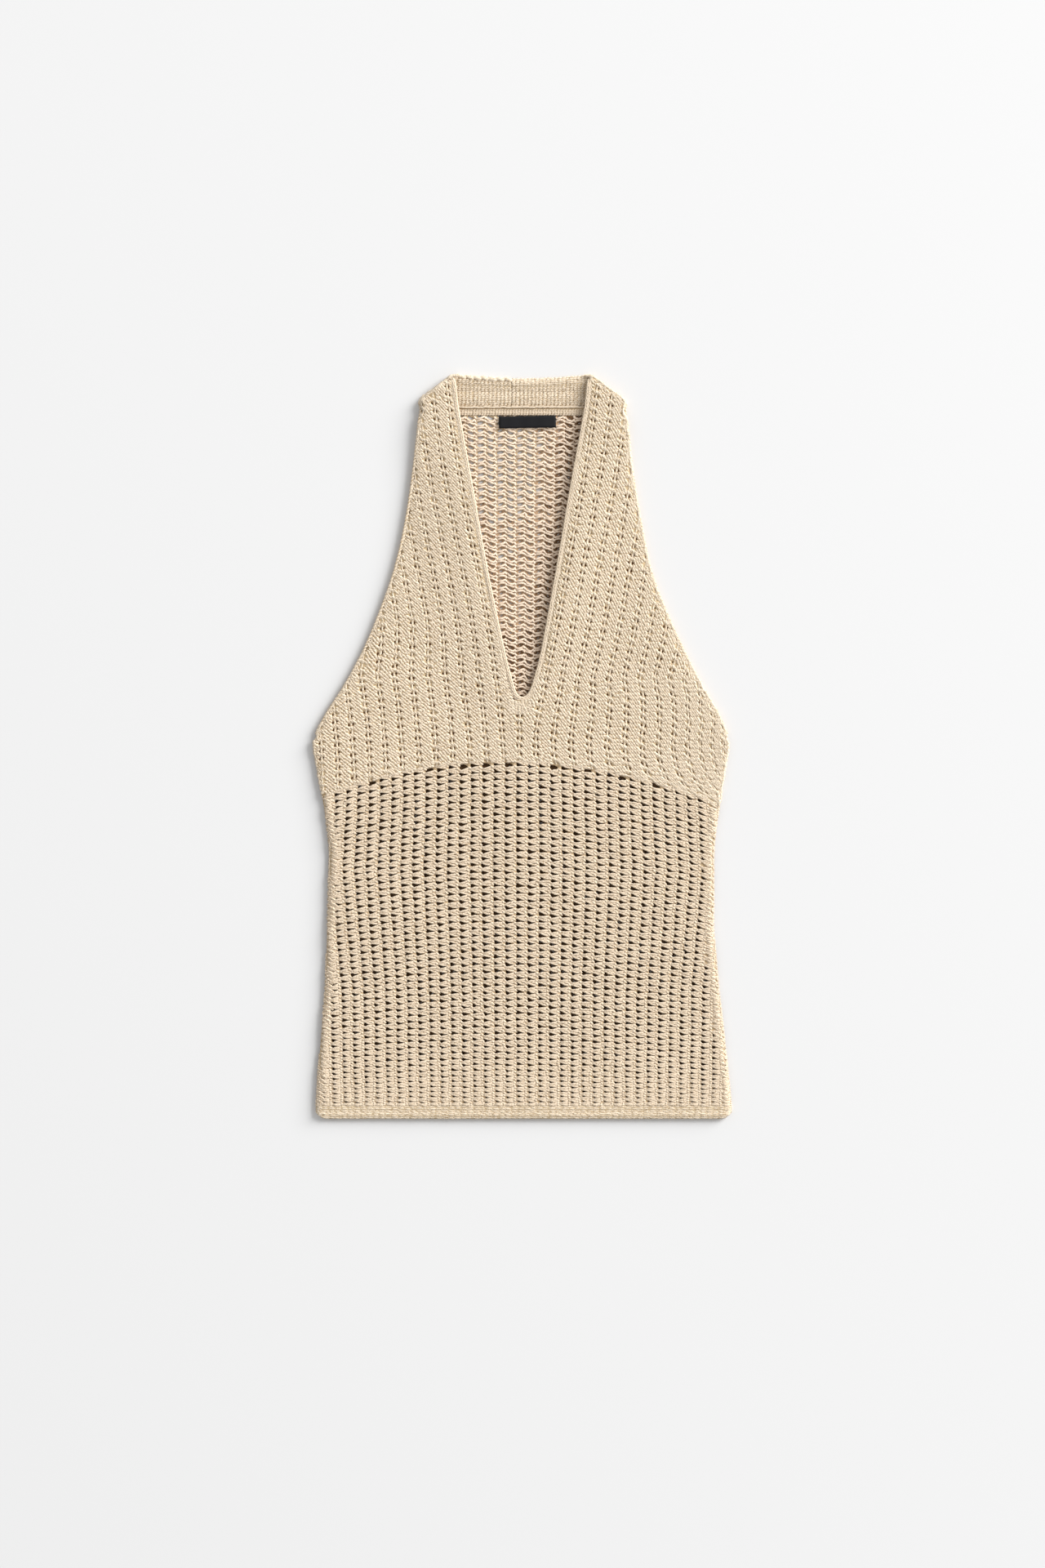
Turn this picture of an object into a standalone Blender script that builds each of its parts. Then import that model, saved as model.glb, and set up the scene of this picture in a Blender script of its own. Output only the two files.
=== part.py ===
"""A sleeveless crochet top with a halter neck, laid flat on its back.

The open-mesh back lies on the ground and reaches up to the neck band. On it lie the open-mesh front
body and, over that, a dense yoke whose two straps fold back at the shoulders into the neck band. Each
piece that a maker would crochet or sew on is one closed wall, a hair away from its neighbours.
Metres, +Z up, +Y towards the neck, origin on the ground under the middle of the top.
"""

import math
from collections import namedtuple

import bpy
from mathutils import Vector

GAP = 0.0003  # between pieces that touch

# Plan of the top, seen from the front. y runs from hem to neck, x from the viewer's left to right.
HEM_Y = -0.3374
HEM_TOP_Y = -0.3240
HEM_CORNER = 0.0080
NECK_SEAM_LOW_Y = 0.3001
NECK_BAND_LOW_Y = 0.3086
NECK_TOP_Y = 0.3374
CENTRE_BACK_X = -0.0100

# Heights of the layers.
BACK_WALL = 0.0024
BACK_RIB = 0.0004
FRONT_UNDER = 0.0032
BODY_WALL = 0.0024
BODY_RIB = 0.0009
YOKE_WALL = 0.0026
YOKE_RIB = 0.0008
SEAM_HEIGHT = 0.0031  # where front and back meet at the side
SOFT_EDGE = 0.0010  # rounding of a free edge

# Columns of open stitches run straight down from this line, and the slanting sides cut them off.
COLUMN_MIDDLE_X = -0.0026
ColumnPitch = namedtuple("ColumnPitch", "y front back")
COLUMN_PITCHES = (
    ColumnPitch(-0.3374, 0.0098, 0.0098),
    ColumnPitch(-0.2227, 0.0099, 0.0099),
    ColumnPitch(-0.1672, 0.0102, 0.0100),
    ColumnPitch(-0.1117, 0.0105, 0.0098),
    ColumnPitch(-0.0562, 0.0103, 0.0094),
    ColumnPitch(0.0600, 0.0102, 0.0087),
    ColumnPitch(0.3100, 0.0102, 0.0090),
)
YOKE_PITCH = 0.0150  # between the yoke's columns of eyelets
YOKE_HALF_PITCH = YOKE_PITCH / 2

Section = namedtuple("Section", "y left right")
SIDE_OUTLINE = (
    Section(-0.3374, -0.1874, 0.1896),
    Section(-0.3263, -0.1872, 0.1894),
    Section(-0.2708, -0.1835, 0.1835),
    Section(-0.2116, -0.1785, 0.1770),
    Section(-0.1672, -0.1774, 0.1732),
    Section(-0.1228, -0.1754, 0.1724),
    Section(-0.0932, -0.1747, 0.1731),
    Section(-0.0636, -0.1776, 0.1760),
    Section(-0.0340, -0.1833, 0.1806),
    Section(-0.0044, -0.1886, 0.1862),
    Section(0.0045, -0.1894, 0.1872),
    Section(0.0110, -0.1889, 0.1868),
    Section(0.0252, -0.1820, 0.1813),
    Section(0.0548, -0.1628, 0.1640),
    Section(0.0844, -0.1465, 0.1487),
    Section(0.1140, -0.1336, 0.1348),
    Section(0.1584, -0.1177, 0.1177),
    Section(0.2028, -0.1073, 0.1085),
    Section(0.2472, -0.1006, 0.1010),
    Section(0.2916, -0.0955, 0.0962),
    Section(0.3138, -0.0940, 0.0947),
)

# The edge of the neck opening, from its lowest point up both sides.
NECK_TIP = (0.0, 0.0437)
NECKLINE = (
    Section(0.0452, -0.0030, 0.0030),
    Section(0.0485, -0.0055, 0.0056),
    Section(0.0548, -0.0078, 0.0084),
    Section(0.0696, -0.0117, 0.0124),
    Section(0.0844, -0.0155, 0.0163),
    Section(0.1584, -0.0311, 0.0300),
    Section(0.2324, -0.0444, 0.0426),
    Section(0.3064, -0.0577, 0.0560),
    Section(0.3374, -0.0614, 0.0592),
)

# Each strap folds back along a slanting line, from the armhole side up to the neck side.
FOLD_OUTER_Y = 0.3138
FOLD_INNER_X = {-1: -0.0622, 1: 0.0607}
FOLD_OUTER_X = {-1: -0.0940, 1: 0.0947}
FOLD_HEIGHT = 0.0044  # middle of the folded layers
FOLD_WALL = 0.0030
STRAP_ROWS_FROM_Y = 0.2500  # above this the yoke's rows turn towards the fold

# The seam between yoke and body is an arch.
ARCH_TOP = (-0.0185, -0.0126)
ARCH_FALL = {-1: 1.22, 1: 1.02}  # metres of fall for each square metre of distance, left and right

# Trims.
NECK_TRIM_WIDTH = 0.0040
NECK_TRIM_HEIGHT = 0.0032
ARMHOLE_TRIM_WIDTH = 0.0024
ARMHOLE_TRIM_HEIGHT = 0.0025
ARMHOLE_TRIM_FROM_Y = 0.0110

# Rows of the yoke's points: right across it, as shares of the way up from the arch, then up the straps,
# as heights over the lowest point of its neck edge, then round the fold, as depths below the neck's top.
YOKE_LOW_ROWS = (0.0, 0.25, 0.5, 0.75, 1.0)
STRAP_RISES = (0.0012, 0.0035, 0.0080, 0.0160, 0.0280, 0.0450, 0.0640, 0.0860, 0.1060)
STRAP_RISES += (0.1250, 0.1470, 0.1690, 0.1910, 0.2110, 0.2330, 0.2550, 0.2760)
FoldRow = namedtuple("FoldRow", "below under")
FOLD_ROWS = (
    FoldRow(0.0052, 0.0090),
    FoldRow(0.0018, 0.0052),
    FoldRow(0.0000, 0.0034),
)

# Lines of points along the hem: height above its edge, and rise as a share of the body's ribs.
HEM_COLUMNS = 16
HemLine = namedtuple("HemLine", "above rise")
HEM_LINES = (
    HemLine(0.0000, -1.6),
    HemLine(0.0005, -0.7),
    HemLine(0.0018, 0.0),
    HemLine(0.0042, 1.0),
    HemLine(0.0068, 0.2),
    HemLine(0.0096, 1.0),
    HemLine(HEM_TOP_Y - HEM_Y, 0.2),
)

# Ridges along the neck band: how far up its depth each line of points lies, and its rise.
Ridge = namedtuple("Ridge", "share rise")
BAND_RIDGES = (
    Ridge(0.00, -0.0007),
    Ridge(0.05, 0.0),
    Ridge(0.22, 0.0005),
    Ridge(0.36, 0.0003),
    Ridge(0.45, -0.0003),
    Ridge(0.56, 0.0003),
    Ridge(0.68, 0.0),
    Ridge(0.76, 0.0008),
    Ridge(0.90, 0.0009),
    Ridge(1.00, -0.0006),
)

# Soft troughs pressed into the yoke: a line from one end to the other, how deep and how wide.
Trough = namedtuple("Trough", "x0 y0 x1 y1 depth width")
TROUGHS = (
    Trough(-0.1036, 0.2028, -0.0903, 0.1376, 0.0007, 0.0060),
    Trough(-0.0962, 0.2550, -0.1040, 0.1480, 0.0005, 0.0070),
    Trough(-0.0407, 0.1584, -0.0333, 0.1288, 0.0004, 0.0050),
    Trough(0.0800, 0.2400, 0.1030, 0.1500, 0.0004, 0.0080),
)

# The label, a blank woven strip sewn on by its ends.
LABEL_CENTRE = (0.0044, 0.2942)
LABEL_WIDTH = 0.0518
LABEL_DEPTH = 0.0108
LABEL_THICKNESS = 0.0007
LABEL_TURN = math.radians(1.0)


def clear_scene():
    for thing in list(bpy.data.objects):
        bpy.data.objects.remove(thing, do_unlink=True)


def yarn_material(name, colour, roughness):
    """The piece's own Principled material, in linear colour."""
    made = bpy.data.materials.new(name)
    made.use_nodes = True
    shader = made.node_tree.nodes["Principled BSDF"]
    shader.inputs["Base Color"].default_value = (*colour, 1.0)
    shader.inputs["Roughness"].default_value = roughness
    shader.inputs["Metallic"].default_value = 0.0
    return made


def mix(low, high, share):
    return low + (high - low) * share


def ease(low, high, value):
    """0 below low, 1 above high, and smooth between them."""
    share = min(max((value - low) / (high - low), 0.0), 1.0)
    return share * share * (3.0 - 2.0 * share)


def along(table, side, y):
    """x of a table's left or right edge at y, on a smooth curve through its rows."""
    column = "left" if side < 0 else "right"
    ys = [row.y for row in table]
    xs = [getattr(row, column) for row in table]
    y = min(max(y, ys[0]), ys[-1])
    after = next(i for i in range(1, len(ys)) if y <= ys[i])
    before = after - 1
    slopes = []
    for i in (before, after):
        down, up = max(i - 1, 0), min(i + 1, len(ys) - 1)
        slopes.append((xs[up] - xs[down]) / (ys[up] - ys[down]))
    span = ys[after] - ys[before]
    t = (y - ys[before]) / span
    return (
        (2 * t**3 - 3 * t**2 + 1) * xs[before]
        + (t**3 - 2 * t**2 + t) * span * slopes[0]
        + (3 * t**2 - 2 * t**3) * xs[after]
        + (t**3 - t**2) * span * slopes[1]
    )


def slope_of(table, side, y):
    step = 0.002
    return (along(table, side, y + step) - along(table, side, y - step)) / (2 * step)


def round_fall(distance, radius):
    """How far a quarter-round edge has fallen at this distance in from its outline."""
    if distance >= radius:
        return 0.0
    left = 1.0 - max(distance, 0.0) / radius
    return radius * (1.0 - math.sqrt(1.0 - left * left))


def inner_distance(distance, wall):
    """Where the inside of a joined edge lies, for a point this far in on its outside."""
    return max(distance, wall + distance / 2)


def outline_x(side, y):
    """The silhouette, with its round corners at the hem."""
    x = along(SIDE_OUTLINE, side, y)
    return x - side * round_fall(y - HEM_Y, HEM_CORNER)


def panel_x(side, y):
    """The edge of a panel: the silhouette, less the trim along the armhole."""
    foot_y = ARMHOLE_TRIM_FROM_Y
    room = (ARMHOLE_TRIM_WIDTH + 3 * GAP) * ease(foot_y - 0.0070, foot_y - 0.0010, y)
    return outline_x(side, y) - side * room * math.hypot(1.0, slope_of(SIDE_OUTLINE, side, y))


def seam_share(y):
    """1 where front and back are joined at the side, 0 along the open armhole."""
    return 1.0 - ease(0.002, 0.014, y)


def arch_y(x):
    side = -1 if x < ARCH_TOP[0] else 1
    return ARCH_TOP[1] - ARCH_FALL[side] * (x - ARCH_TOP[0]) ** 2


def neckline_path(offset):
    """The neck opening's edge moved outwards by offset, from the left shoulder to the right."""
    left = [(row.left, row.y) for row in reversed(NECKLINE)]
    corners = left + [NECK_TIP] + [(row.right, row.y) for row in NECKLINE]
    path = []
    for i, here in enumerate(corners[:-1]):
        before, after = corners[max(i - 1, 0)], corners[i + 1]
        beyond = corners[min(i + 2, len(corners) - 1)]
        steps = max(2, round(math.dist(here, after) / 0.016))
        for step in range(steps):
            t = step / steps
            weights = (
                (-t + 2 * t**2 - t**3) / 2,
                (2 - 5 * t**2 + 3 * t**3) / 2,
                (t + 4 * t**2 - 3 * t**3) / 2,
                (t**3 - t**2) / 2,
            )
            four = (before, here, after, beyond)
            path.append(Vector([sum(w * p[k] for w, p in zip(weights, four)) for k in (0, 1)]))
    path.append(Vector(corners[-1]))
    moved = []
    for i, point in enumerate(path):
        ahead = path[min(i + 1, len(path) - 1)] - path[max(i - 1, 0)]
        outward = Vector((-ahead.y, ahead.x)).normalized() * -1.0
        moved.append(point + outward * offset)
    return moved


YOKE_NECKLINE = neckline_path(NECK_TRIM_WIDTH + 2 * GAP)
YOKE_TIP = min(YOKE_NECKLINE, key=lambda point: point.y)


def yoke_neck_x(side, y):
    """x of the yoke's edge beside the neckline trim."""
    tip = YOKE_NECKLINE.index(YOKE_TIP)
    branch = YOKE_NECKLINE[tip::-1] if side < 0 else YOKE_NECKLINE[tip:]
    for low, high in zip(branch, branch[1:]):
        if y <= high.y:
            return mix(low.x, high.x, (y - low.y) / (high.y - low.y))
    return branch[-1].x


def neck_distance(x, y):
    side = -1 if x < YOKE_TIP.x else 1
    if y <= YOKE_TIP.y:
        return math.hypot(x - YOKE_TIP.x, y - YOKE_TIP.y)
    return max(side * (x - yoke_neck_x(side, y)), 0.0)


def fold_distance(side, x, y):
    """Distance in plan from the line along which a strap folds back."""
    inner = Vector((FOLD_INNER_X[side], NECK_TOP_Y))
    outer = Vector((FOLD_OUTER_X[side], FOLD_OUTER_Y))
    run = inner - outer
    share = min(max((Vector((x, y)) - outer).dot(run) / run.length_squared, 0.0), 1.0)
    return (Vector((x, y)) - outer - run * share).length


def front_under(x, y):
    """Height of the front's underside: on the back, and lifted along the neck and at the shoulders."""
    at_neck = mix(0.0016, 0.0028, ease(0.020, 0.140, y)) * ease(0.000, 0.040, y)
    at_neck *= math.exp(-((neck_distance(x, y) / 0.035) ** 2))
    at_fold = 0.0024 * ease(0.235, 0.315, y)
    return FRONT_UNDER + at_neck + at_fold * (1.0 - at_neck / 0.0028)


def trough_depth(x, y):
    depth = 0.0
    for trough in TROUGHS:
        start, end = Vector((trough.x0, trough.y0)), Vector((trough.x1, trough.y1))
        run = end - start
        share = min(max((Vector((x, y)) - start).dot(run) / run.length_squared, 0.0), 1.0)
        distance = (Vector((x, y)) - start - run * share).length
        depth += trough.depth * math.exp(-((distance / trough.width) ** 2))
    return depth


def column_keys(left, right, inset):
    """Whole-number columns between two edges, with the edges and a point just inside each."""
    inside = [float(k) for k in range(math.ceil(left), math.floor(right) + 1)]
    inside = [k for k in inside if left + inset < k < right - inset]
    return sorted({left, left + 0.3 * inset, left + inset, *inside, right - inset, right - 0.3 * inset, right})


def plain_keys(keys, every):
    """The two ends of a row and a few columns between them, for a plain face."""
    inside = [k for k in keys[1:-1] if k % every == 0]
    return sorted({keys[0], *inside, keys[-1]})


class Wall:
    """A closed wall of cloth: rows of points on its upper face, rows on its lower one, and a rim."""

    def __init__(self):
        self.points = []
        self.faces = []
        self.twins = {}
        self.last = None

    def add_run(self, upper, lower):
        """One run of a row: {column: point} for both faces, whose ends are shared columns."""
        rows = []
        for face in (upper, lower):
            rows.append({})
            for key in sorted(face):
                rows[-1][key] = len(self.points)
                self.points.append(Vector(face[key]))
        for key in set(upper) & set(lower):
            self.twins[rows[0][key]] = rows[1][key]
        return rows

    def zip_rows(self, near, far, up):
        """Triangles between two rows, near the hem and far from it, column by column."""
        a, b = sorted(near), sorted(far)
        i = j = 0
        while i < len(a) - 1 or j < len(b) - 1:
            if j == len(b) - 1 or (i < len(a) - 1 and a[i + 1] <= b[j + 1]):
                corners = (near[a[i]], near[a[i + 1]], far[b[j]])
                i += 1
            else:
                corners = (near[a[i]], far[b[j + 1]], far[b[j]])
                j += 1
            self.faces.append(corners if up else corners[::-1])

    def add_row(self, *runs):
        """The next row, as one run or, above the split of the neck, two."""
        made = [self.add_run(*run) for run in runs]
        if self.last:
            before = self.last
            if len(made) > len(before):
                before = [
                    [{k: v for k, v in row.items() if k <= 0} for row in before[0]],
                    [{k: v for k, v in row.items() if k >= 0} for row in before[0]],
                ]
            for old, new in zip(before, made):
                self.zip_rows(old[0], new[0], up=True)
                self.zip_rows(old[1], new[1], up=False)
        self.last = made

    def add_rim(self):
        upper = set(self.twins)
        edges = set()
        for face in self.faces:
            edges.update(zip(face, face[1:] + face[:1]))
        for a, b in sorted(edges):
            if (b, a) not in edges and a in upper and b in upper:
                self.faces.append((b, a, self.twins[a], self.twins[b]))

    def finish(self, name, material):
        self.add_rim()
        return mesh_object(name, self.points, self.faces, material)


def mesh_object(name, points, faces, material):
    mesh = bpy.data.meshes.new(name)
    mesh.from_pydata([tuple(point) for point in points], [], faces)
    mesh.update()
    mesh.shade_smooth()
    mesh.set_sharp_from_angle(angle=math.radians(50))
    mesh.materials.append(material)
    made = bpy.data.objects.new(name, mesh)
    bpy.context.scene.collection.objects.link(made)
    return made


def sweep(name, path, sides, width, height, around, material):
    """A round trim along a path, with this many faces around. sides are the directions of its width."""
    points, faces = [], []
    for i, (centre, side) in enumerate(zip(path, sides)):
        ahead = (path[min(i + 1, len(path) - 1)] - path[max(i - 1, 0)]).normalized()
        up = side.cross(ahead).normalized()
        for step in range(around):
            angle = math.tau * (step + 0.5) / around
            points.append(centre + side * math.cos(angle) * width / 2 + up * math.sin(angle) * height / 2)
    for ring in range(len(path) - 1):
        for step in range(around):
            here, there = ring * around + step, ring * around + (step + 1) % around
            faces.append((here, here + around, there + around, there))
    last = len(points) - around
    faces.append(tuple(range(around)))
    faces.append(tuple(range(last, last + around))[::-1])
    return mesh_object(name, points, faces, material)


def half_pitch(panel, y):
    """Half the distance between the columns of the "front" or "back" at y."""
    for low, high in zip(COLUMN_PITCHES, COLUMN_PITCHES[1:]):
        if y <= high.y:
            return mix(getattr(low, panel), getattr(high, panel), (y - low.y) / (high.y - low.y)) / 2
    return getattr(COLUMN_PITCHES[-1], panel) / 2


def settle(edge_x, row_y, start):
    """Where a curved row, y = row_y(x), meets a curved edge, x = edge_x(y)."""
    x = start
    for _ in range(7):
        x = edge_x(row_y(x))
    return x, row_y(x)


def rib(key, height):
    """Raised halfway between two columns of holes."""
    return height * (0.5 - 0.5 * math.cos(math.pi * key)) if key == int(key) else 0.0


def front_body_row(share):
    """A row of the front body, this share of the way up from the hem to the arch."""

    def row_y(x):
        return mix(HEM_TOP_Y + GAP, arch_y(x) - GAP / 2, share)

    def place(key):
        def column(y):
            return COLUMN_MIDDLE_X + key * half_pitch("front", y)

        return settle(column, row_y, column(HEM_TOP_Y))

    top = FRONT_UNDER + BODY_WALL
    radius = top - SEAM_HEIGHT - GAP / 2
    ends = []
    for side in (-1, 1):
        x, y = settle(lambda level: outline_x(side, level), row_y, 0.18 * side)
        ends.append((x - COLUMN_MIDDLE_X) / half_pitch("front", y))
    keys = column_keys(*ends, radius / half_pitch("front", HEM_TOP_Y))
    upper, lower = {}, {}
    for key in keys:
        x, y = place(key)
        distance = min(x - outline_x(-1, y), outline_x(1, y) - x)
        upper[key] = (x, y, top + rib(key, BODY_RIB) - round_fall(distance, radius))
    for key in keys if share in (0.0, 1.0) else plain_keys(keys, 9):
        x, y = place(key)
        at_end = key in (keys[0], keys[-1])
        x -= math.copysign(BODY_WALL, key) if at_end else 0.0
        lower[key] = (x, y, SEAM_HEIGHT + GAP / 2 if at_end else FRONT_UNDER)
    return upper, lower


def make_front_body(material):
    rows = 11
    wall = Wall()
    for row in range(rows):
        wall.add_row(front_body_row(row / (rows - 1)))
    return wall.finish("front_body", material)


def make_back_body(material):
    levels = [HEM_TOP_Y + GAP, -0.2708, -0.2116, -0.1672, -0.0932, -0.0340, -0.0044, 0.0040, 0.0100]
    levels += [0.0160, 0.0252, 0.0400, 0.0548, 0.0844, 0.1140, 0.1584, 0.2028, 0.2472, NECK_SEAM_LOW_Y]
    wall = Wall()
    for y in levels:
        step = half_pitch("back", y)
        joined = seam_share(y)
        radius = mix(SOFT_EDGE, SEAM_HEIGHT - GAP / 2, joined)
        ends = [(panel_x(side, y) - COLUMN_MIDDLE_X) / step for side in (-1, 1)]
        keys = column_keys(*ends, radius / step)
        upper, lower = {}, {}
        for key in keys:
            distance = min(key - keys[0], keys[-1] - key) * step
            inward = inner_distance(distance, BACK_WALL) - distance
            x = COLUMN_MIDDLE_X + key * step - math.copysign(inward * joined, key)
            top = BACK_WALL + rib(key, BACK_RIB)
            at_end = key in (keys[0], keys[-1])
            upper[key] = (x, y, mix(top, SEAM_HEIGHT - GAP / 2, joined) if at_end else top)
        near_ends = {keys[1], keys[2], keys[-3], keys[-2]}
        plain = keys if y in (levels[0], levels[-1]) else sorted({*plain_keys(keys, 9), *near_ends})
        for key in plain:
            x = COLUMN_MIDDLE_X + key * step
            distance = min(key - keys[0], keys[-1] - key) * step
            lower[key] = (x, y, round_fall(distance, radius) * joined)
        wall.add_row((upper, lower))
    return wall.finish("back_body", material)


def yoke_upper_z(side, key, x, y):
    """Height of the yoke's face: its ribs, its troughs, and its round side edge and shoulder fold."""
    top = front_under(x, y) + YOKE_WALL
    edge_radius = mix(SOFT_EDGE, top - SEAM_HEIGHT - GAP / 2, seam_share(y))
    edge_fall = round_fall(side * (panel_x(side, y) - x), edge_radius)
    z = top + rib(key, YOKE_RIB) - trough_depth(x, y) - edge_fall
    if y < STRAP_ROWS_FROM_Y:
        return z
    fold_end = FOLD_HEIGHT + GAP / 2
    return max(z - round_fall(fold_distance(side, x, y), top - fold_end), fold_end)


def yoke_low_row(share):
    """A row right across the yoke, this share of the way up from the arch to the neck opening."""

    def row_y(x):
        return mix(arch_y(x) + GAP / 2, YOKE_TIP.y, share)

    ends = []
    for side in (-1, 1):
        x, _ = settle(lambda level: panel_x(side, level), row_y, 0.18 * side)
        ends.append((x - YOKE_TIP.x) / YOKE_HALF_PITCH)
    keys = sorted({*column_keys(*ends, SOFT_EDGE / YOKE_HALF_PITCH), 0.0})
    upper, lower = {}, {}
    for key in keys:
        x = YOKE_TIP.x + key * YOKE_HALF_PITCH
        y = row_y(x)
        upper[key] = (x, y, yoke_upper_z(-1 if key < 0 else 1, key, x, y))
    for key in keys if share == 0.0 else sorted({*plain_keys(keys, 4), 0.0}):
        x = YOKE_TIP.x + key * YOKE_HALF_PITCH
        joined = seam_share(row_y(x)) if key in (keys[0], keys[-1]) else 0.0
        x -= math.copysign(YOKE_WALL * joined, key)
        y = row_y(x)
        lower[key] = (x, y, mix(front_under(x, y), SEAM_HEIGHT + GAP / 2, joined))
    return upper, lower


def strap_row(side, neck_y, under_neck_y):
    """A row across one strap. Both heights are at the neck edge, of its face and of its underside."""

    def place(key, last_key, y_at_neck):
        turn = max(y_at_neck - STRAP_ROWS_FROM_Y, 0.0) / (NECK_TOP_Y - STRAP_ROWS_FROM_Y)
        y_at_arm = min(y_at_neck, mix(STRAP_ROWS_FROM_Y, FOLD_OUTER_Y, turn))
        x = mix(yoke_neck_x(side, y_at_neck), panel_x(side, y_at_arm), key / last_key)
        return x, mix(y_at_neck, y_at_arm, key / last_key)

    inner, outer = place(0.0, 1.0, neck_y), place(1.0, 1.0, neck_y)
    width = abs(outer[0] - inner[0]) / YOKE_HALF_PITCH
    keys = column_keys(0.0, width, SOFT_EDGE / YOKE_HALF_PITCH)
    at_fold = neck_y == NECK_TOP_Y
    upper, lower = {}, {}
    for key in keys:
        x, y = place(key, width, neck_y)
        upper[side * key] = (x, y, yoke_upper_z(side, key, x, y))
    for key in keys if at_fold else plain_keys(keys, 4):
        x, y = place(key, width, under_neck_y)
        lower[side * key] = (x, y, FOLD_HEIGHT + GAP / 2 if at_fold else front_under(x, y))
    return upper, lower


def make_front_yoke(material):
    wall = Wall()
    for share in YOKE_LOW_ROWS:
        wall.add_row(yoke_low_row(share))
    straps = [(YOKE_TIP.y + rise, YOKE_TIP.y + rise) for rise in STRAP_RISES]
    folds = [(NECK_TOP_Y - row.below, NECK_TOP_Y - row.under) for row in FOLD_ROWS]
    for neck_y, under_neck_y in straps + folds:
        wall.add_row(*[strap_row(side, neck_y, under_neck_y) for side in (-1, 1)])
    return wall.finish("front_yoke", material)


def make_neckline_trim(material):
    flat = neckline_path(NECK_TRIM_WIDTH / 2)
    path, sides = [], []
    for i, point in enumerate(flat):
        side = -1 if point.x < NECK_TIP[0] else 1
        if point.y > STRAP_ROWS_FROM_Y and fold_distance(side, point.x, point.y) < 0.0030:
            continue
        ahead = flat[min(i + 1, len(flat) - 1)] - flat[max(i - 1, 0)]
        sides.append(Vector((-ahead.y, ahead.x, 0.0)).normalized())
        z = front_under(point.x, point.y) + NECK_TRIM_HEIGHT / 2
        path.append(Vector((point.x, point.y, z)))
    return sweep("neckline_trim", path, sides, NECK_TRIM_WIDTH, NECK_TRIM_HEIGHT, 8, material)


def make_armhole_trim(name, side, material):
    """One edging that runs down the front of an armhole, round under it and up the back."""
    top_y = NECK_SEAM_LOW_Y
    turn_y = 0.0145
    steps = 17
    half_height = ARMHOLE_TRIM_HEIGHT / 2
    back_z = half_height + 0.0002
    path, sides = [], []

    def add(y, z):
        slope = slope_of(SIDE_OUTLINE, side, y)
        outward = Vector((side, -side * slope, 0.0)).normalized()
        x = outline_x(side, y)
        path.append(Vector((x, y, z)) - outward * ARMHOLE_TRIM_WIDTH / 2)
        sides.append(outward)

    ys = [mix(top_y, turn_y, step / (steps - 1)) for step in range(steps)]
    for y in ys:
        add(y, front_under(outline_x(side, y), y) + half_height)
    front_z = path[-1].z
    for turn in (45, 90, 135):
        angle = math.radians(turn)
        add(turn_y - 0.0030 * math.sin(angle), mix(front_z, back_z, (1 - math.cos(angle)) / 2))
    for y in reversed(ys):
        add(y, back_z)
    return sweep(name, path, sides, ARMHOLE_TRIM_WIDTH, ARMHOLE_TRIM_HEIGHT, 6, material)


def make_hem(name, front, material):
    """The close-stitched band along the bottom of one panel."""
    under = FRONT_UNDER if front else 0.0
    wall_height = BODY_WALL if front else BACK_WALL
    rise = BODY_RIB if front else 0.0
    seam = SEAM_HEIGHT + (GAP / 2 if front else -GAP / 2)
    radius = under + wall_height - seam if front else seam
    half = HEM_COLUMNS / 2
    wall = Wall()
    for line in HEM_LINES:
        y = HEM_Y + line.above
        left, right = outline_x(-1, y), outline_x(1, y)
        step = (right - left) / HEM_COLUMNS
        upper, lower = {}, {}
        for key in column_keys(-half, half, radius / step):
            distance = (half - abs(key)) * step
            outside = (left + right) / 2 + key * step
            inside = outside - math.copysign(inner_distance(distance, wall_height) - distance, key)
            top = under + wall_height + line.rise * rise
            if front:
                at_seam = seam if distance == 0.0 else under
                upper[key] = (outside, y, max(top - round_fall(distance, radius), seam))
                lower[key] = (inside, y, at_seam)
            else:
                upper[key] = (inside, y, seam if distance == 0.0 else top)
                lower[key] = (outside, y, round_fall(distance, radius))
        wall.add_row((upper, lower))
    return wall.finish(name, material)


def neck_top_y(x):
    """The band's upper edge dips a little towards its middle."""
    return NECK_TOP_Y - 0.0036 * (1.0 - min(abs(x) / 0.060, 1.0) ** 2)


def make_neck_band(name, side, material):
    """Half of the band behind the neck, from the centre-back seam out to where its strap folds."""
    wall = Wall()
    inner_x = CENTRE_BACK_X + side * GAP / 2
    run = Vector((FOLD_INNER_X[side] - FOLD_OUTER_X[side], NECK_TOP_Y - FOLD_OUTER_Y))
    radius = FOLD_HEIGHT - GAP / 2
    for ridge in BAND_RIDGES:
        level = mix(NECK_BAND_LOW_Y, NECK_TOP_Y, ridge.share)
        up_fold = max(level - FOLD_OUTER_Y, 0.0) / run.y
        outer_x = FOLD_OUTER_X[side] + run.x * up_fold
        width = abs(outer_x - inner_x)
        keys = [share * (1.0 - 0.0100 / width) for share in (0.0, 0.25, 0.5, 0.75, 1.0)]
        keys += [1.0 - distance / width for distance in (0.0070, 0.0045, 0.0025, 0.0010, 0.0)]
        upper, lower = {}, {}
        for key in keys:
            x = mix(inner_x, outer_x, key)
            y = level + (neck_top_y(x) - NECK_TOP_Y) * ease(0.5, 0.8, ridge.share)
            lower[side * key] = (x, y, round_fall(fold_distance(side, x, y), radius))
            turned = 1.0 - ease(0.0, 0.0052, fold_distance(side, x, y))
            top = mix(YOKE_WALL + ridge.rise, radius, turned)
            inner = outer_x - side * inner_distance(abs(outer_x - x), FOLD_WALL)
            upper[side * key] = (inner, y, top)
        wall.add_row((upper, lower))
    return wall.finish(name, material)


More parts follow.
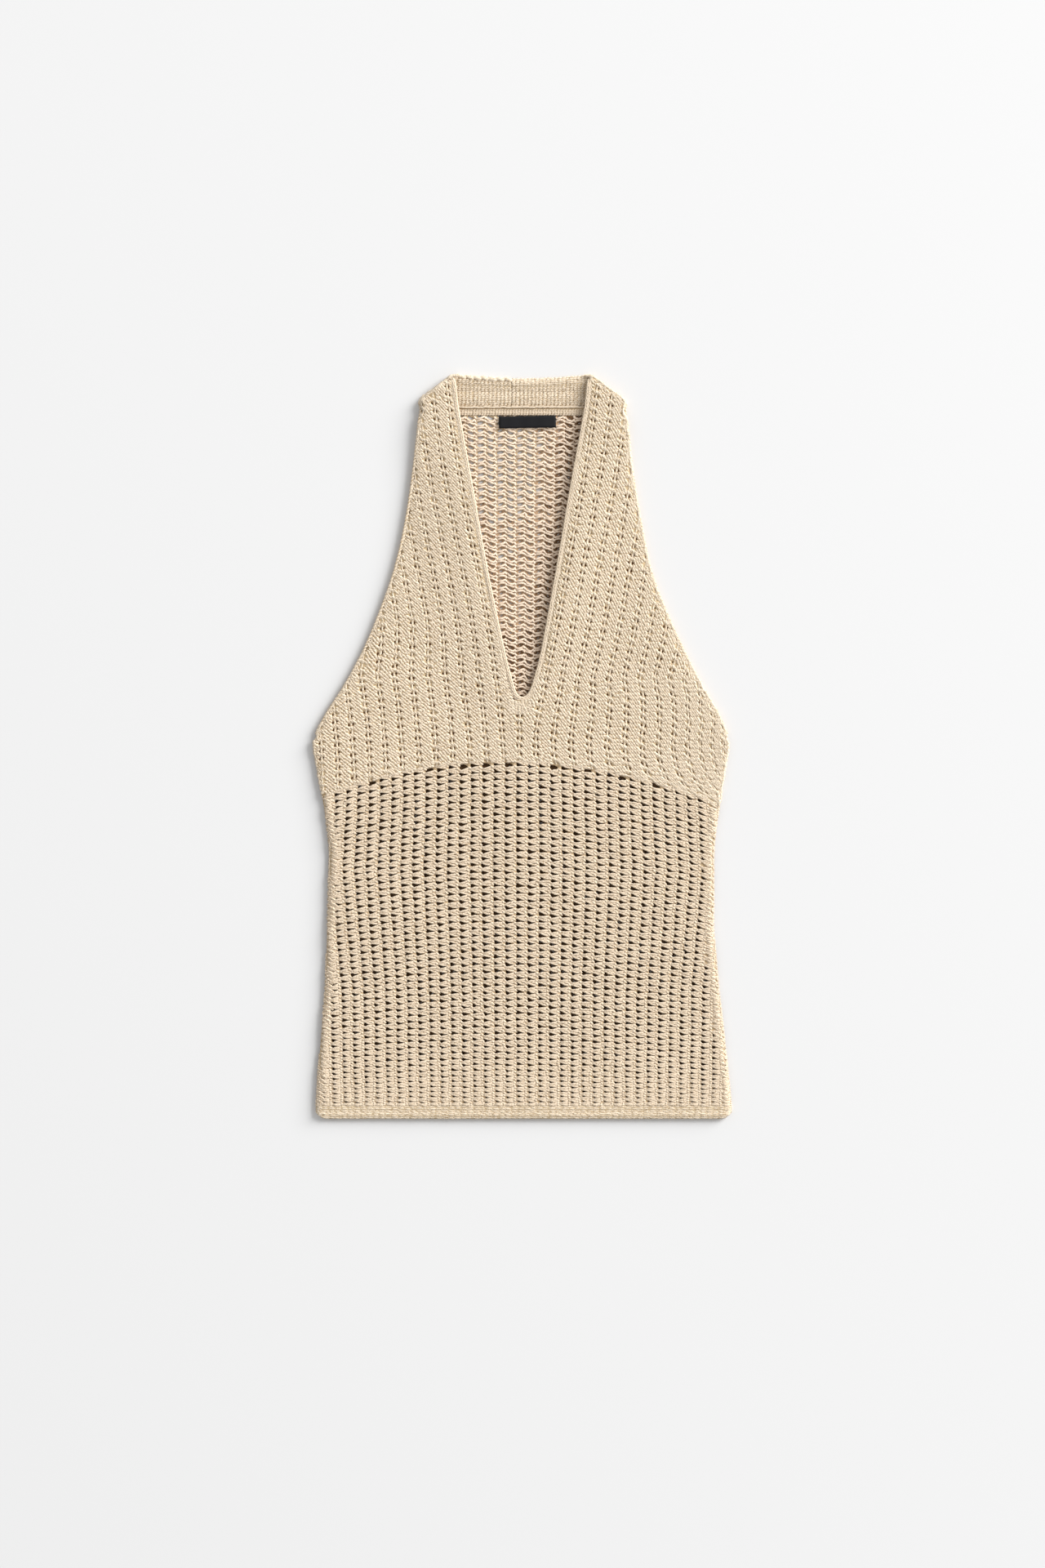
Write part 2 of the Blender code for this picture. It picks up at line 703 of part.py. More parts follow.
def make_neck_seam(material):
    """The narrow band and cord that join the back panel to the neck band."""
    low, high = NECK_SEAM_LOW_Y + GAP, NECK_BAND_LOW_Y - GAP
    shape = ((0.0, 0.0018), (0.1, 0.0026), (0.45, 0.0026), (0.6, 0.0024), (0.75, 0.0033), (0.95, 0.0033), (1.0, 0.0024))
    wall = Wall()
    for share, height in shape:
        y = mix(low, high, share)
        left, right = panel_x(-1, y), panel_x(1, y)
        upper = {key: (mix(left, right, key / 12), y, height) for key in range(13)}
        lower = {key: (mix(left, right, key / 12), y, 0.0) for key in range(13)}
        wall.add_row((upper, lower))
    return wall.finish("back_neck_seam", material)


def make_label(material):
    """A blank woven strip that lies on the back panel's columns."""
    rest = BACK_WALL + BACK_RIB + GAP
    wall = Wall()
    turn = Vector((math.cos(LABEL_TURN), math.sin(LABEL_TURN)))
    for row in range(5):
        upper, lower = {}, {}
        for key in range(13):
            along_label = (key / 12 - 0.5) * LABEL_WIDTH
            up_label = (row / 4 - 0.5) * LABEL_DEPTH
            x = LABEL_CENTRE[0] + along_label * turn.x - up_label * turn.y
            y = LABEL_CENTRE[1] + along_label * turn.y + up_label * turn.x
            wave = 0.0003 * math.sin(along_label / LABEL_WIDTH * math.pi * 3) ** 2
            upper[key] = (x, y, rest + LABEL_THICKNESS + wave)
            lower[key] = (x, y, rest + wave)
        wall.add_row((upper, lower))
    return wall.finish("label", material)


def main():
    clear_scene()
    mesh_yarn = (0.665, 0.527, 0.378)
    dense_yarn = (0.708, 0.571, 0.418)
    pieces = [
        make_back_body(yarn_material("back_mesh_yarn", mesh_yarn, 0.85)),
        make_front_body(yarn_material("front_mesh_yarn", mesh_yarn, 0.85)),
        make_front_yoke(yarn_material("yoke_yarn", dense_yarn, 0.85)),
        make_neckline_trim(yarn_material("neckline_trim_yarn", (0.75, 0.62, 0.47), 0.8)),
        make_armhole_trim("armhole_trim_left", -1, yarn_material("left_edging_yarn", dense_yarn, 0.8)),
        make_armhole_trim("armhole_trim_right", 1, yarn_material("right_edging_yarn", dense_yarn, 0.8)),
        make_hem("hem_front", True, yarn_material("front_hem_yarn", dense_yarn, 0.85)),
        make_hem("hem_back", False, yarn_material("back_hem_yarn", dense_yarn, 0.85)),
        make_neck_band("neck_band_left", -1, yarn_material("left_band_yarn", dense_yarn, 0.85)),
        make_neck_band("neck_band_right", 1, yarn_material("right_band_yarn", dense_yarn, 0.85)),
        make_neck_seam(yarn_material("neck_seam_yarn", dense_yarn, 0.8)),
        make_label(yarn_material("label_weave", (0.013, 0.013, 0.015), 0.7)),
    ]
    top = bpy.data.objects.new("crochet_top", None)
    bpy.context.scene.collection.objects.link(top)
    for piece in pieces:
        piece.parent = top


main()
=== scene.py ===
import math

import bmesh
import bpy
import numpy as np
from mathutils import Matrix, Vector
from mathutils.bvhtree import BVHTree


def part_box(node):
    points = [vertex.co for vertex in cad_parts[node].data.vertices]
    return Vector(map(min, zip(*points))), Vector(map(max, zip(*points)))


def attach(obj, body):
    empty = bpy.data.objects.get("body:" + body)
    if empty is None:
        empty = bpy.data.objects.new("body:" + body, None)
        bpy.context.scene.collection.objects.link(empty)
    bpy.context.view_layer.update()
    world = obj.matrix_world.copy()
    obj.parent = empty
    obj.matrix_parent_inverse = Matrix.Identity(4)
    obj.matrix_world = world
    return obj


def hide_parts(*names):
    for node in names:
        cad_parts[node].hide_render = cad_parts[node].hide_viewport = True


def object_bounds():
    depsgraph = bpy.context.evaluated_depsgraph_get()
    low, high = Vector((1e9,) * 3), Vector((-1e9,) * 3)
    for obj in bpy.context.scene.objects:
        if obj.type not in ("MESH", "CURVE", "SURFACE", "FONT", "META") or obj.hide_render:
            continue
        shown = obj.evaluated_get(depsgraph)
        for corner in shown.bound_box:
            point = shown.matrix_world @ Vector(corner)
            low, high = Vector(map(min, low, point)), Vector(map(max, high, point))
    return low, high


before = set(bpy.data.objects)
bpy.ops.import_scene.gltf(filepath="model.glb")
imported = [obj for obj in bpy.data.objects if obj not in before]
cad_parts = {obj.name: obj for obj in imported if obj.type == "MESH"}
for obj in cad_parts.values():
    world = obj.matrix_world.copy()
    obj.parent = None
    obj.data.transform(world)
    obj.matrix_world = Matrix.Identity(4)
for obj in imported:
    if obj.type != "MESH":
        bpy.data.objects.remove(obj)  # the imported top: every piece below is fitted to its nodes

cadLow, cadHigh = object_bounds()
mm = 0.001
rng = np.random.default_rng(41)


# small tools

def toLinear(hexColour):
    # sRGB hex to linear colour
    channels = [int(hexColour[i:i + 2], 16) / 255 for i in (1, 3, 5)]
    return tuple(c / 12.92 if c <= 0.04045 else ((c + 0.055) / 1.055) ** 2.4 for c in channels) + (1.0,)


def addNode(tree, kind, sockets=None, **settings):
    # one node with its settings; a socket takes a value, an output, or a node, for its first output
    node = tree.nodes.new(kind)
    for name, value in settings.items():
        setattr(node, name, value)
    for key, value in (sockets or {}).items():
        if isinstance(value, bpy.types.Node):
            value = value.outputs[0]
        if isinstance(value, bpy.types.NodeSocket):
            tree.links.new(value, node.inputs[key])
        else:
            node.inputs[key].default_value = value
    return node


def ease(low, high, value):
    # 0 below low, 1 above high, smooth between
    share = np.clip((value - low) / (high - low), 0.0, 1.0)
    return share * share * (3.0 - 2.0 * share)


def roundFall(distance, radius):
    # how far a quarter-round edge has fallen at this distance in from it
    left = 1.0 - np.clip(distance / radius, 0.0, 1.0)
    return radius * (1.0 - np.sqrt(1.0 - left * left))


def meshObject(name, points, faces=(), edges=(), materials=()):
    mesh = bpy.data.meshes.new(name)
    mesh.from_pydata([tuple(p) for p in points], list(edges), list(faces))
    mesh.update()
    made = bpy.data.objects.new(name, mesh)
    bpy.context.scene.collection.objects.link(made)
    for material in materials:
        mesh.materials.append(material)
    return made


def setAttribute(thing, name, kind, values, domain="POINT"):
    layer = thing.data.attributes.new(name, kind, domain)
    field = "vector" if kind in ("FLOAT_VECTOR", "FLOAT2") else "value"
    layer.data.foreach_set(field, np.asarray(values, np.float32).ravel())


def triangles(thing):
    return sum(len(p.vertices) - 2 for p in thing.data.polygons)


# the top's plan and heights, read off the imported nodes

edgeEnds, rayTrees = {}, {}
for nodeName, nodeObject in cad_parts.items():
    corners = [v.co for v in nodeObject.data.vertices]
    spots = np.array(corners, float)
    pairs = np.array([e.vertices for e in nodeObject.data.edges])
    edgeEnds[nodeName] = (spots[pairs[:, 0]], spots[pairs[:, 1]])
    rayTrees[nodeName] = BVHTree.FromPolygons(corners, [p.vertices for p in nodeObject.data.polygons])


def crossings(names, axis, level):
    # plan positions at which the edges of these nodes cross a line
    found = []
    for name in names:
        a, b = edgeEnds[name]
        span = b[:, axis] - a[:, axis]
        share = (level - a[:, axis]) / np.where(np.abs(span) < 1e-9, 1.0, span)
        crossed = (np.abs(span) > 1e-9) & (share >= 0.0) & (share <= 1.0)
        found.append((a[:, 1 - axis] + (b - a)[:, 1 - axis] * share)[crossed])
    return np.concatenate(found)


def heights(name, xs, ys, fromBelow=False, spread=(0.0,)):
    # height of a node's top or underside, averaged over a few places across its ribs
    total, hits = np.zeros(len(xs)), np.zeros(len(xs))
    down = Vector((0, 0, 1 if fromBelow else -1))
    for shift in spread:
        for i, (x, y) in enumerate(zip(xs, ys)):
            hit = rayTrees[name].ray_cast(Vector((x + shift, y, -1 if fromBelow else 1)), down)[0]
            if hit:
                total[i] += hit.z
                hits[i] += 1
    found = np.where(hits > 0, total / np.maximum(hits, 1), np.nan)
    return np.where(np.isnan(found), np.nanmean(found), found)


hemY = cadLow.y
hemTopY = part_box("hem_front")[1].y
neckTopY = cadHigh.y
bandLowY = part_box("neck_band_left")[0].y
neckTrimWidth = 4.0 * mm
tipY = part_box("neckline_trim")[0].y + neckTrimWidth  # lowest point of the neck opening

outlineNodes = ["back_body", "front_body", "front_yoke", "hem_front", "hem_back"]
outlineNodes += ["armhole_trim_left", "armhole_trim_right", "neck_band_left", "neck_band_right"]
levels = np.linspace(hemY + 0.1 * mm, neckTopY - 0.1 * mm, 260)
sliced = [crossings(outlineNodes, 1, y) for y in levels]
levels = levels[[len(s) > 0 for s in sliced]]
sliced = [s for s in sliced if len(s)]
outlineXs = {-1: np.array([s.min() for s in sliced]), 1: np.array([s.max() for s in sliced])}

trimLevels = np.linspace(tipY + 0.3 * mm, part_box("neckline_trim")[1].y - 3.0 * mm, 120)
sliced = [crossings(["neckline_trim"], 1, y) for y in trimLevels]
neckXs = {-1: np.array([s[s < 0].max() for s in sliced]), 1: np.array([s[s > 0].min() for s in sliced])}

archXs = np.linspace(-155 * mm, 155 * mm, 90)
archYs = np.array([crossings(["front_body"], 0, x).max() for x in archXs])
archTopX = archXs[np.argmax(archYs)]
archHalves = {side: side * (archXs - archTopX) >= 0 for side in (-1, 1)}
archFits = {side: np.polyfit(archXs[half], archYs[half], 2) for side, half in archHalves.items()}


def outlineX(side, y):
    # the top's outer edge
    return np.interp(y, levels, outlineXs[side])


def neckX(side, y):
    # the neck opening's edge
    return np.interp(y, trimLevels, neckXs[side])


def archY(x):
    # the seam between yoke and body
    return np.where(x < archTopX, np.polyval(archFits[-1], x), np.polyval(archFits[1], x))


print("plan read:", len(levels), "levels")


# materials

def newMaterial(name, roughness):
    made = bpy.data.materials.new(name)
    made.use_nodes = True
    shader = made.node_tree.nodes["Principled BSDF"]
    shader.inputs["Roughness"].default_value = roughness
    return made, made.node_tree, shader


def yarnMaterial(name, settings):
    # plied cotton: soft patches of tone, loose fibres, dark gaps and the twist of the plies along each strand
    made, tree, shader = newMaterial(name, settings["roughness"])
    place = addNode(tree, "ShaderNodeTexCoord").outputs["Object"]
    noises = {}
    for part, detail in (("patch", 3.0), ("fibre", 4.0), ("speck", 2.0)):
        noises[part] = addNode(tree, "ShaderNodeTexNoise", {
            "Vector": place, "Scale": 1 / (settings[part + "Mm"] * mm), "Detail": detail})
    shares = {"light": noises["patch"]}
    for part, pattern, full in (("fleck", noises["fibre"], 0.75), ("speck", noises["speck"], 0.64)):
        shares[part] = addNode(tree, "ShaderNodeMapRange", {
            0: pattern, 1: 0.50, 2: full, 3: 0.0, 4: settings[part + "Amount"]})
    # each tone lies over the ones before it, by its own pattern's share
    tone = toLinear(settings["dark"])
    for part, share in shares.items():
        mix = addNode(tree, "ShaderNodeMix", {0: share, 6: tone, 7: toLinear(settings[part])}, data_type="RGBA")
        tone = mix.outputs[2]
    tree.links.new(tone, shader.inputs["Base Color"])

    along = addNode(tree, "ShaderNodeAttribute", attribute_name="along").outputs["Fac"]
    around = addNode(tree, "ShaderNodeAttribute", attribute_name="around").outputs["Fac"]
    twist = 2 * math.pi / (settings["twistMm"] * mm)
    turn = addNode(tree, "ShaderNodeMath", {0: along, 1: twist}, operation="MULTIPLY")
    sockets = {0: around, 1: 2 * math.pi * settings["plies"], 2: turn}
    angle = addNode(tree, "ShaderNodeMath", sockets, operation="MULTIPLY_ADD")
    ply = addNode(tree, "ShaderNodeMath", {0: angle}, operation="SINE")
    relief = addNode(tree, "ShaderNodeMath", {0: ply, 1: 0.4, 2: noises["fibre"]}, operation="MULTIPLY_ADD")
    bump = addNode(tree, "ShaderNodeBump", {
        "Height": relief, "Strength": settings["bump"], "Distance": 0.3 * mm})
    tree.links.new(bump.outputs[0], shader.inputs["Normal"])
    shader.inputs["Sheen Weight"].default_value = settings["sheen"]
    shader.inputs["Sheen Roughness"].default_value = 0.5
    return made


# cotton has no shine, only a faint sheen from its loose fibres
yarn = {"patchMm": 45.0, "fibreMm": 0.7, "fleckAmount": 0.6, "speckMm": 1.3, "speckAmount": 0.7,
        "twistMm": 3.2, "plies": 3, "bump": 0.8, "roughness": 0.85, "sheen": 0.15}
underneath = {"roughness": 0.9, "sheen": 0.0}


def cotton(name, light, dark, fleck, speck, **changes):
    # yarn in these tones, with what else differs from the plain one
    return yarnMaterial(name, {**yarn, "light": light, "dark": dark, "fleck": fleck, "speck": speck, **changes})


# worked strands: yoke, neck band and hem, then front body, back seen from inside, and edgings
sandYarn = cotton("sand cotton yarn, close stitches", "#f4e3cb", "#e9d8bf", "#f8ebd7", "#b59c78")
meshYarn = cotton("sand cotton yarn, open mesh", "#eedbc2", "#e2cfb5", "#f4e6d2", "#ab916d")
innerYarn = cotton("sand cotton yarn, inside of the back", "#fae6cf", "#f0dac1", "#fceedd", "#ccb096")
edgeYarn = cotton("sand cotton yarn, smooth edging", "#e8d6be", "#decbb1", "#eedfcc", "#cdb898",
                  patchMm=30.0, speckAmount=0.5, bump=0.5)
# the cloth that shows between the strands, darkened as painted shade between them, and the painted shade of its
# holes and pits
shadedGroundYarn = cotton("sand cotton yarn, under the close stitches", "#cfb894", "#c2aa86", "#dac6a4", "#a88e69",
                    **underneath)
shadedMeshGround = cotton("sand cotton yarn, under the mesh, darkened as painted shade", "#cdb592", "#bfa682", "#d8c3a1", "#a68c67",
                    **underneath)
shadedYarn = cotton("cotton yarn, in shade", "#b8997a", "#a68868", "#c4a686", "#8f7152",
                    **underneath, bump=0.4)
# painted deep shade: a dark brown that stands for the shade in holes, pits and under the front layer
deepShadeYarn = cotton("cotton yarn, painted deep shade", "#80603e", "#6c5034", "#8c6a46", "#5a4029",
                  roughness=0.95, sheen=0.0, bump=0.4)


def tapeMaterial(name, settings):
    # black woven tape, with the fine ribs of its weave
    made, tree, shader = newMaterial(name, settings["roughness"])
    place = addNode(tree, "ShaderNodeTexCoord").outputs["Object"]
    sockets = {"Vector": place, "Scale": 0.5 / (settings["ribMm"] * mm), "Distortion": 0.4}
    ribs = addNode(tree, "ShaderNodeTexWave", sockets).outputs["Fac"]
    sockets = {"Height": ribs, "Strength": 0.3, "Distance": 0.1 * mm}
    tree.links.new(addNode(tree, "ShaderNodeBump", sockets).outputs[0], shader.inputs["Normal"])
    shader.inputs["Base Color"].default_value = toLinear(settings["colour"])
    shader.inputs["Specular IOR Level"].default_value = 0.25
    return made


blackTape = tapeMaterial("black woven tape", {"colour": "#111114", "ribMm": 0.45, "roughness": 0.7})
print("materials made")


# fabric: a closed wall of cells, each with its opening, its pits or neither

def workFabric(name, surface, under, cells, shapes, materials):
    # a cell is its column, row, shape, and the size and tilt of what is in its rim
    coords, depths, faces, marks, lower = [], [], [], [], []
    rim = {}
    for column, row, shapeName, size, tilt in cells:
        shape = shapes[shapeName]
        index = []
        for u, v in shape["rim"]:
            key = (round((column + u) * 1000), round((row + v) * 1000))
            if key not in rim:
                rim[key] = len(coords)
                coords.append((column + u, row + v))
                depths.append(0.0)
            index.append(rim[key])
        cu, cv = shape.get("centre", (0.5, 0.5))
        for u, v, depth in shape["inner"]:
            index.append(len(coords))
            coords.append((column + cu + (u - cu) * size, row + cv + (v - cv) * size + tilt * (u - cu)))
            depths.append(depth)
        for face, mark in shape["faces"]:
            faces.append([index[i] for i in face])
            marks.append(mark)
        for face in shape["under"]:
            lower.append([index[i] for i in face])
    coords = np.array(coords)
    places, _ = surface(coords[:, 0], coords[:, 1])
    tops = places.copy()
    tops[:, 2] -= np.array(depths) * mm
    bottoms = places.copy()
    bottoms[:, 2] = np.minimum(under(places[:, 0], places[:, 1]), tops[:, 2] - 0.2 * mm)
    # walls close the outline and every opening
    directed = {(f[i], f[(i + 1) % len(f)]) for f in faces for i in range(len(f))}
    count = len(coords)
    inner = set(range(count)) - set(rim.values())
    faces += [[i + count for i in reversed(f)] for f in lower]
    marks += [2] * len(lower)
    for a, b in directed:
        if (b, a) not in directed:
            faces.append([b, a, a + count, b + count])
            marks.append(2 if a in inner and b in inner else 1)
    made = meshObject(name, np.concatenate([tops, bottoms]), faces, materials=materials)
    made.data.polygons.foreach_set("material_index", [min(m, len(materials) - 1) for m in marks])
    return tidyMesh(made)


def tidyMesh(thing):
    # points that fall together at an edge are joined, loose ones go, and all faces look outwards
    work = bmesh.new()
    work.from_mesh(thing.data)
    bmesh.ops.remove_doubles(work, verts=work.verts, dist=0.02 * mm)
    bmesh.ops.dissolve_degenerate(work, edges=work.edges, dist=0.01 * mm)
    loose = [v for v in work.verts if not v.link_faces]
    bmesh.ops.delete(work, geom=loose, context="VERTS")
    bmesh.ops.recalc_face_normals(work, faces=work.faces)
    for face in work.faces:
        face.smooth = True
    work.to_mesh(thing.data)
    work.free()
    return thing


def joinAll(name, parts):
    # several meshes become one plain mesh
    work = bmesh.new()
    materials = []
    for part in parts:
        start = len(work.faces)
        work.from_mesh(part.data)
        work.faces.ensure_lookup_table()
        for face in work.faces[start:]:
            material = part.data.materials[face.material_index] if part.data.materials else None
            if material not in materials:
                materials.append(material)
            face.material_index = materials.index(material)
            face.smooth = True
    mesh = bpy.data.meshes.new(name)
    work.to_mesh(mesh)
    work.free()
    for material in materials:
        mesh.materials.append(material)
    made = bpy.data.objects.new(name, mesh)
    bpy.context.scene.collection.objects.link(made)
    for part in parts:
        bpy.data.objects.remove(part)
    return made


# Geometry Nodes: one tree works any stitch, cell by cell, over any ground

def stitchTree():
    tree = bpy.data.node_groups.new("crochet stitches", "GeometryNodeTree")
    kinds = {
        "Geometry": ("Ground",), "Object": ("Stitch A", "Stitch B"),
        "Int": ("Columns", "Rows", "Sides", "Seed"),
        "Vector": ("First Cell", "Cells Low", "Cells Span", "Shift"),
        "Float": ("Keep From", "Yarn Width", "Unevenness"), "Material": ("Material",)}
    for kind, names in kinds.items():
        for name in names:
            tree.interface.new_socket(name=name, in_out="INPUT", socket_type="NodeSocket" + kind)
    tree.interface.new_socket(name="Mesh", in_out="OUTPUT", socket_type="NodeSocketGeometry")
    given = addNode(tree, "NodeGroupInput").outputs
    place = addNode(tree, "GeometryNodeInputPosition")
    xyz = addNode(tree, "ShaderNodeSeparateXYZ", {0: place}).outputs
    stored = {}
    for name, kind in (("inside", "FLOAT"), ("turned", "FLOAT"), ("thick", "FLOAT"),
                       ("up", "FLOAT_VECTOR"), ("cells", "FLOAT_VECTOR")):
        stored[name] = addNode(tree, "GeometryNodeInputNamedAttribute", {"Name": name}, data_type=kind)

    # what the ground has under a point whose place is given in cells
    fromLow = addNode(tree, "ShaderNodeVectorMath", {0: place, 1: given["Cells Low"]}, operation="SUBTRACT")
    share = addNode(tree, "ShaderNodeVectorMath", {0: fromLow, 1: given["Cells Span"]}, operation="DIVIDE")
    under = {}
    for name, value, kind in (("inside", stored["inside"], "FLOAT"), ("up", stored["up"], "FLOAT_VECTOR"),
                              ("place", place, "FLOAT_VECTOR")):
        sockets = {"Mesh": given["Ground"], "Value": value, "UV Map": stored["cells"], "Sample UV": share}
        under[name] = addNode(tree, "GeometryNodeSampleUVSurface", sockets, data_type=kind)

    # the cells, as points on a plain grid: x counts columns and y counts rows
    lastColumn = addNode(tree, "ShaderNodeMath", {0: given["Columns"], 1: 1.0}, operation="SUBTRACT")
    lastRow = addNode(tree, "ShaderNodeMath", {0: given["Rows"], 1: 1.0}, operation="SUBTRACT")
    grid = addNode(tree, "GeometryNodeMeshGrid", {
        "Size X": lastColumn, "Size Y": lastRow, "Vertices X": given["Columns"], "Vertices Y": given["Rows"]})
    span = addNode(tree, "ShaderNodeCombineXYZ", {0: lastColumn, 1: lastRow})
    sockets = {0: span, 1: (0.5, 0.5, 0.5), 2: given["First Cell"]}
    toFirst = addNode(tree, "ShaderNodeVectorMath", sockets, operation="MULTIPLY_ADD")
    cells = addNode(tree, "GeometryNodeSetPosition", {"Geometry": grid, "Offset": toFirst})
    sockets = {0: under["inside"], 1: given["Keep From"]}
    outside = addNode(tree, "ShaderNodeMath", sockets, operation="LESS_THAN")
    sockets = {"Geometry": cells, "Selection": outside}
    inRange = addNode(tree, "GeometryNodeDeleteGeometry", sockets, domain="POINT")

    # every other column is worked from the other side, so its stitches lean the other way
    halved = addNode(tree, "ShaderNodeMath", {0: xyz["X"], 1: 0.5, 2: 0.125}, operation="MULTIPLY_ADD")
    odd = addNode(tree, "ShaderNodeMath", {0: halved}, operation="FRACT")
    turned = addNode(tree, "ShaderNodeMath", {0: odd, 1: 0.5}, operation="GREATER_THAN")
    sockets = {"Geometry": inRange, "Name": "turned", "Value": turned}
    flagged = addNode(tree, "GeometryNodeStoreNamedAttribute", sockets, data_type="FLOAT", domain="POINT")

    # no two are quite alike in place, size and course
    nextSeed = addNode(tree, "ShaderNodeMath", {0: given["Seed"], 1: 7.0}, operation="ADD")
    chance = {}
    for name, low, high, seed in (("place", (-1.0, -1.0, -1.0), (1.0, 1.0, 1.0), given["Seed"]),
                                  ("size", (0.97, 0.94, 0.8), (1.03, 1.06, 1.2), given["Seed"]),
                                  ("course", (-0.7, -1.1, -3.0), (0.7, 1.1, 3.0), nextSeed)):
        sockets = {0: low, 1: high, "Seed": seed}
        chance[name] = addNode(tree, "FunctionNodeRandomValue", sockets, data_type="FLOAT_VECTOR")
    for name in ("place", "course"):
        sockets = {0: chance[name], "Scale": given["Unevenness"]}
        chance[name] = addNode(tree, "ShaderNodeVectorMath", sockets, operation="SCALE")
    sockets = {0: chance["place"], 1: (0.6, 1.0, 1.5), 2: given["Shift"]}
    shift = addNode(tree, "ShaderNodeVectorMath", sockets, operation="MULTIPLY_ADD")
    placed = addNode(tree, "GeometryNodeSetPosition", {"Geometry": flagged, "Offset": shift})
    joined = addNode(tree, "GeometryNodeJoinGeometry")
    straight = addNode(tree, "ShaderNodeMath", {0: stored["turned"], 1: 0.5}, operation="LESS_THAN")
    for stitch, chosen in (("Stitch A", straight), ("Stitch B", stored["turned"])):
        shape = addNode(tree, "GeometryNodeObjectInfo", {"Object": given[stitch], "As Instance": True})
        worked = addNode(tree, "GeometryNodeInstanceOnPoints", {
            "Points": placed, "Selection": chosen, "Instance": shape.outputs["Geometry"],
            "Scale": chance["size"]})
        tree.links.new(worked.outputs[0], joined.inputs[0])
    loose = addNode(tree, "GeometryNodeRealizeInstances", {"Geometry": joined})
    lines = addNode(tree, "GeometryNodeMeshToCurve", {"Mesh": loose})
    strands = addNode(tree, "GeometryNodeSetPosition", {"Geometry": lines, "Offset": chance["course"]})

    # each strand's points move from cells onto the ground: x and y across it, z above it in millimetres
    high = addNode(tree, "ShaderNodeMath", {0: xyz["Z"], 1: mm}, operation="MULTIPLY")
    lift = addNode(tree, "ShaderNodeVectorMath", {0: under["up"], "Scale": high}, operation="SCALE")
    spot = addNode(tree, "ShaderNodeVectorMath", {0: under["place"], 1: lift}, operation="ADD")
    laid = addNode(tree, "GeometryNodeSetPosition", {"Geometry": strands, "Position": spot})

    # and are swept to yarn, which carries its length and its turn for the material
    sockets = {2: 0.46, 3: 0.56, "Seed": given["Seed"]}
    ply = addNode(tree, "FunctionNodeRandomValue", sockets, data_type="FLOAT").outputs[1]
    width = addNode(tree, "ShaderNodeMath", {0: given["Yarn Width"], 1: ply}, operation="MULTIPLY")
    radius = addNode(tree, "ShaderNodeMath", {0: stored["thick"], 1: width}, operation="MULTIPLY")
    ring = addNode(tree, "GeometryNodeCurvePrimitiveCircle", {"Resolution": given["Sides"], "Radius": 1.0})
    gone = addNode(tree, "GeometryNodeSplineParameter").outputs
    marked = {}
    for name, curve, value in (("along", laid, gone["Length"]), ("around", ring, gone["Factor"])):
        marked[name] = addNode(tree, "GeometryNodeStoreNamedAttribute", {
            "Geometry": curve, "Name": name, "Value": value}, data_type="FLOAT", domain="POINT")
    swept = addNode(tree, "GeometryNodeCurveToMesh", {
        "Curve": marked["along"], "Profile Curve": marked["around"], "Scale": radius, "Fill Caps": True})
    smooth = addNode(tree, "GeometryNodeSetShadeSmooth", {"Geometry": swept})
    real = addNode(tree, "GeometryNodeRealizeInstances", {"Geometry": smooth})
    coloured = addNode(tree, "GeometryNodeSetMaterial", {"Geometry": real, "Material": given["Material"]})
    addNode(tree, "NodeGroupOutput", {0: coloured})
    return tree


stitchWork = stitchTree()


def makeStitch(name, strands):
    # a strand is its thickness, or one for each point, and its points: across and along a cell, height in mm
    points, edges, thick = [], [], []
    for width, line in strands:
        first = len(points)
        points += line
        thick += list(width) if isinstance(width, tuple) else [width] * len(line)
        edges += [(i, i + 1) for i in range(first, len(points) - 1)]
    made = meshObject(name, points, edges=edges)
    setAttribute(made, "thick", "FLOAT", thick)
    return made


def makeGround(name, surface, columns, rows, step=0.5):
    # the surface that stitches follow; surface(column, row) gives places and distances inside its edge
    across = np.arange(columns[0], columns[1] + step / 2, step)
    along = np.arange(rows[0], rows[1] + step / 2, step)
    cellX, cellY = np.meshgrid(across, along, indexing="ij")
    places, inside = surface(cellX.ravel(), cellY.ravel())
    wide, tall = len(across), len(along)
    net = places.reshape(wide, tall, 3)
    ups = np.cross(np.gradient(net, axis=0), np.gradient(net, axis=1)).reshape(-1, 3)
    size = np.linalg.norm(ups, axis=1)[:, None]
    ups = np.where(size > 1e-12, ups / np.maximum(size, 1e-12), (0.0, 0.0, 1.0))
    faces = [(i * tall + j, (i + 1) * tall + j, (i + 1) * tall + j + 1, i * tall + j + 1)
             for i in range(wide - 1) for j in range(tall - 1)]
    made = meshObject(name, places, faces)
    setAttribute(made, "up", "FLOAT_VECTOR", ups)
    setAttribute(made, "inside", "FLOAT", inside)
    corners = np.array([loop.vertex_index for loop in made.data.loops])
    made["low"] = (columns[0], rows[0])
    made["span"] = (across[-1] - columns[0], along[-1] - rows[0])
    made["corners"] = (1 / step, float(tall))  # to a cell, and up a column
    u = (cellX.ravel() - columns[0]) / made["span"][0]
    v = (cellY.ravel() - rows[0]) / made["span"][1]
    setAttribute(made, "cells", "FLOAT2", np.stack([u[corners], v[corners]], 1), "CORNER")
    return made


def leaveOut(ground, column, row):
    # no stitch is worked in the cell whose middle this is
    toCell, tall = ground["corners"]
    corner = (column - ground["low"][0]) * toCell * tall + (row - ground["low"][1]) * toCell
    ground.data.attributes["inside"].data[round(corner)].value = -1.0


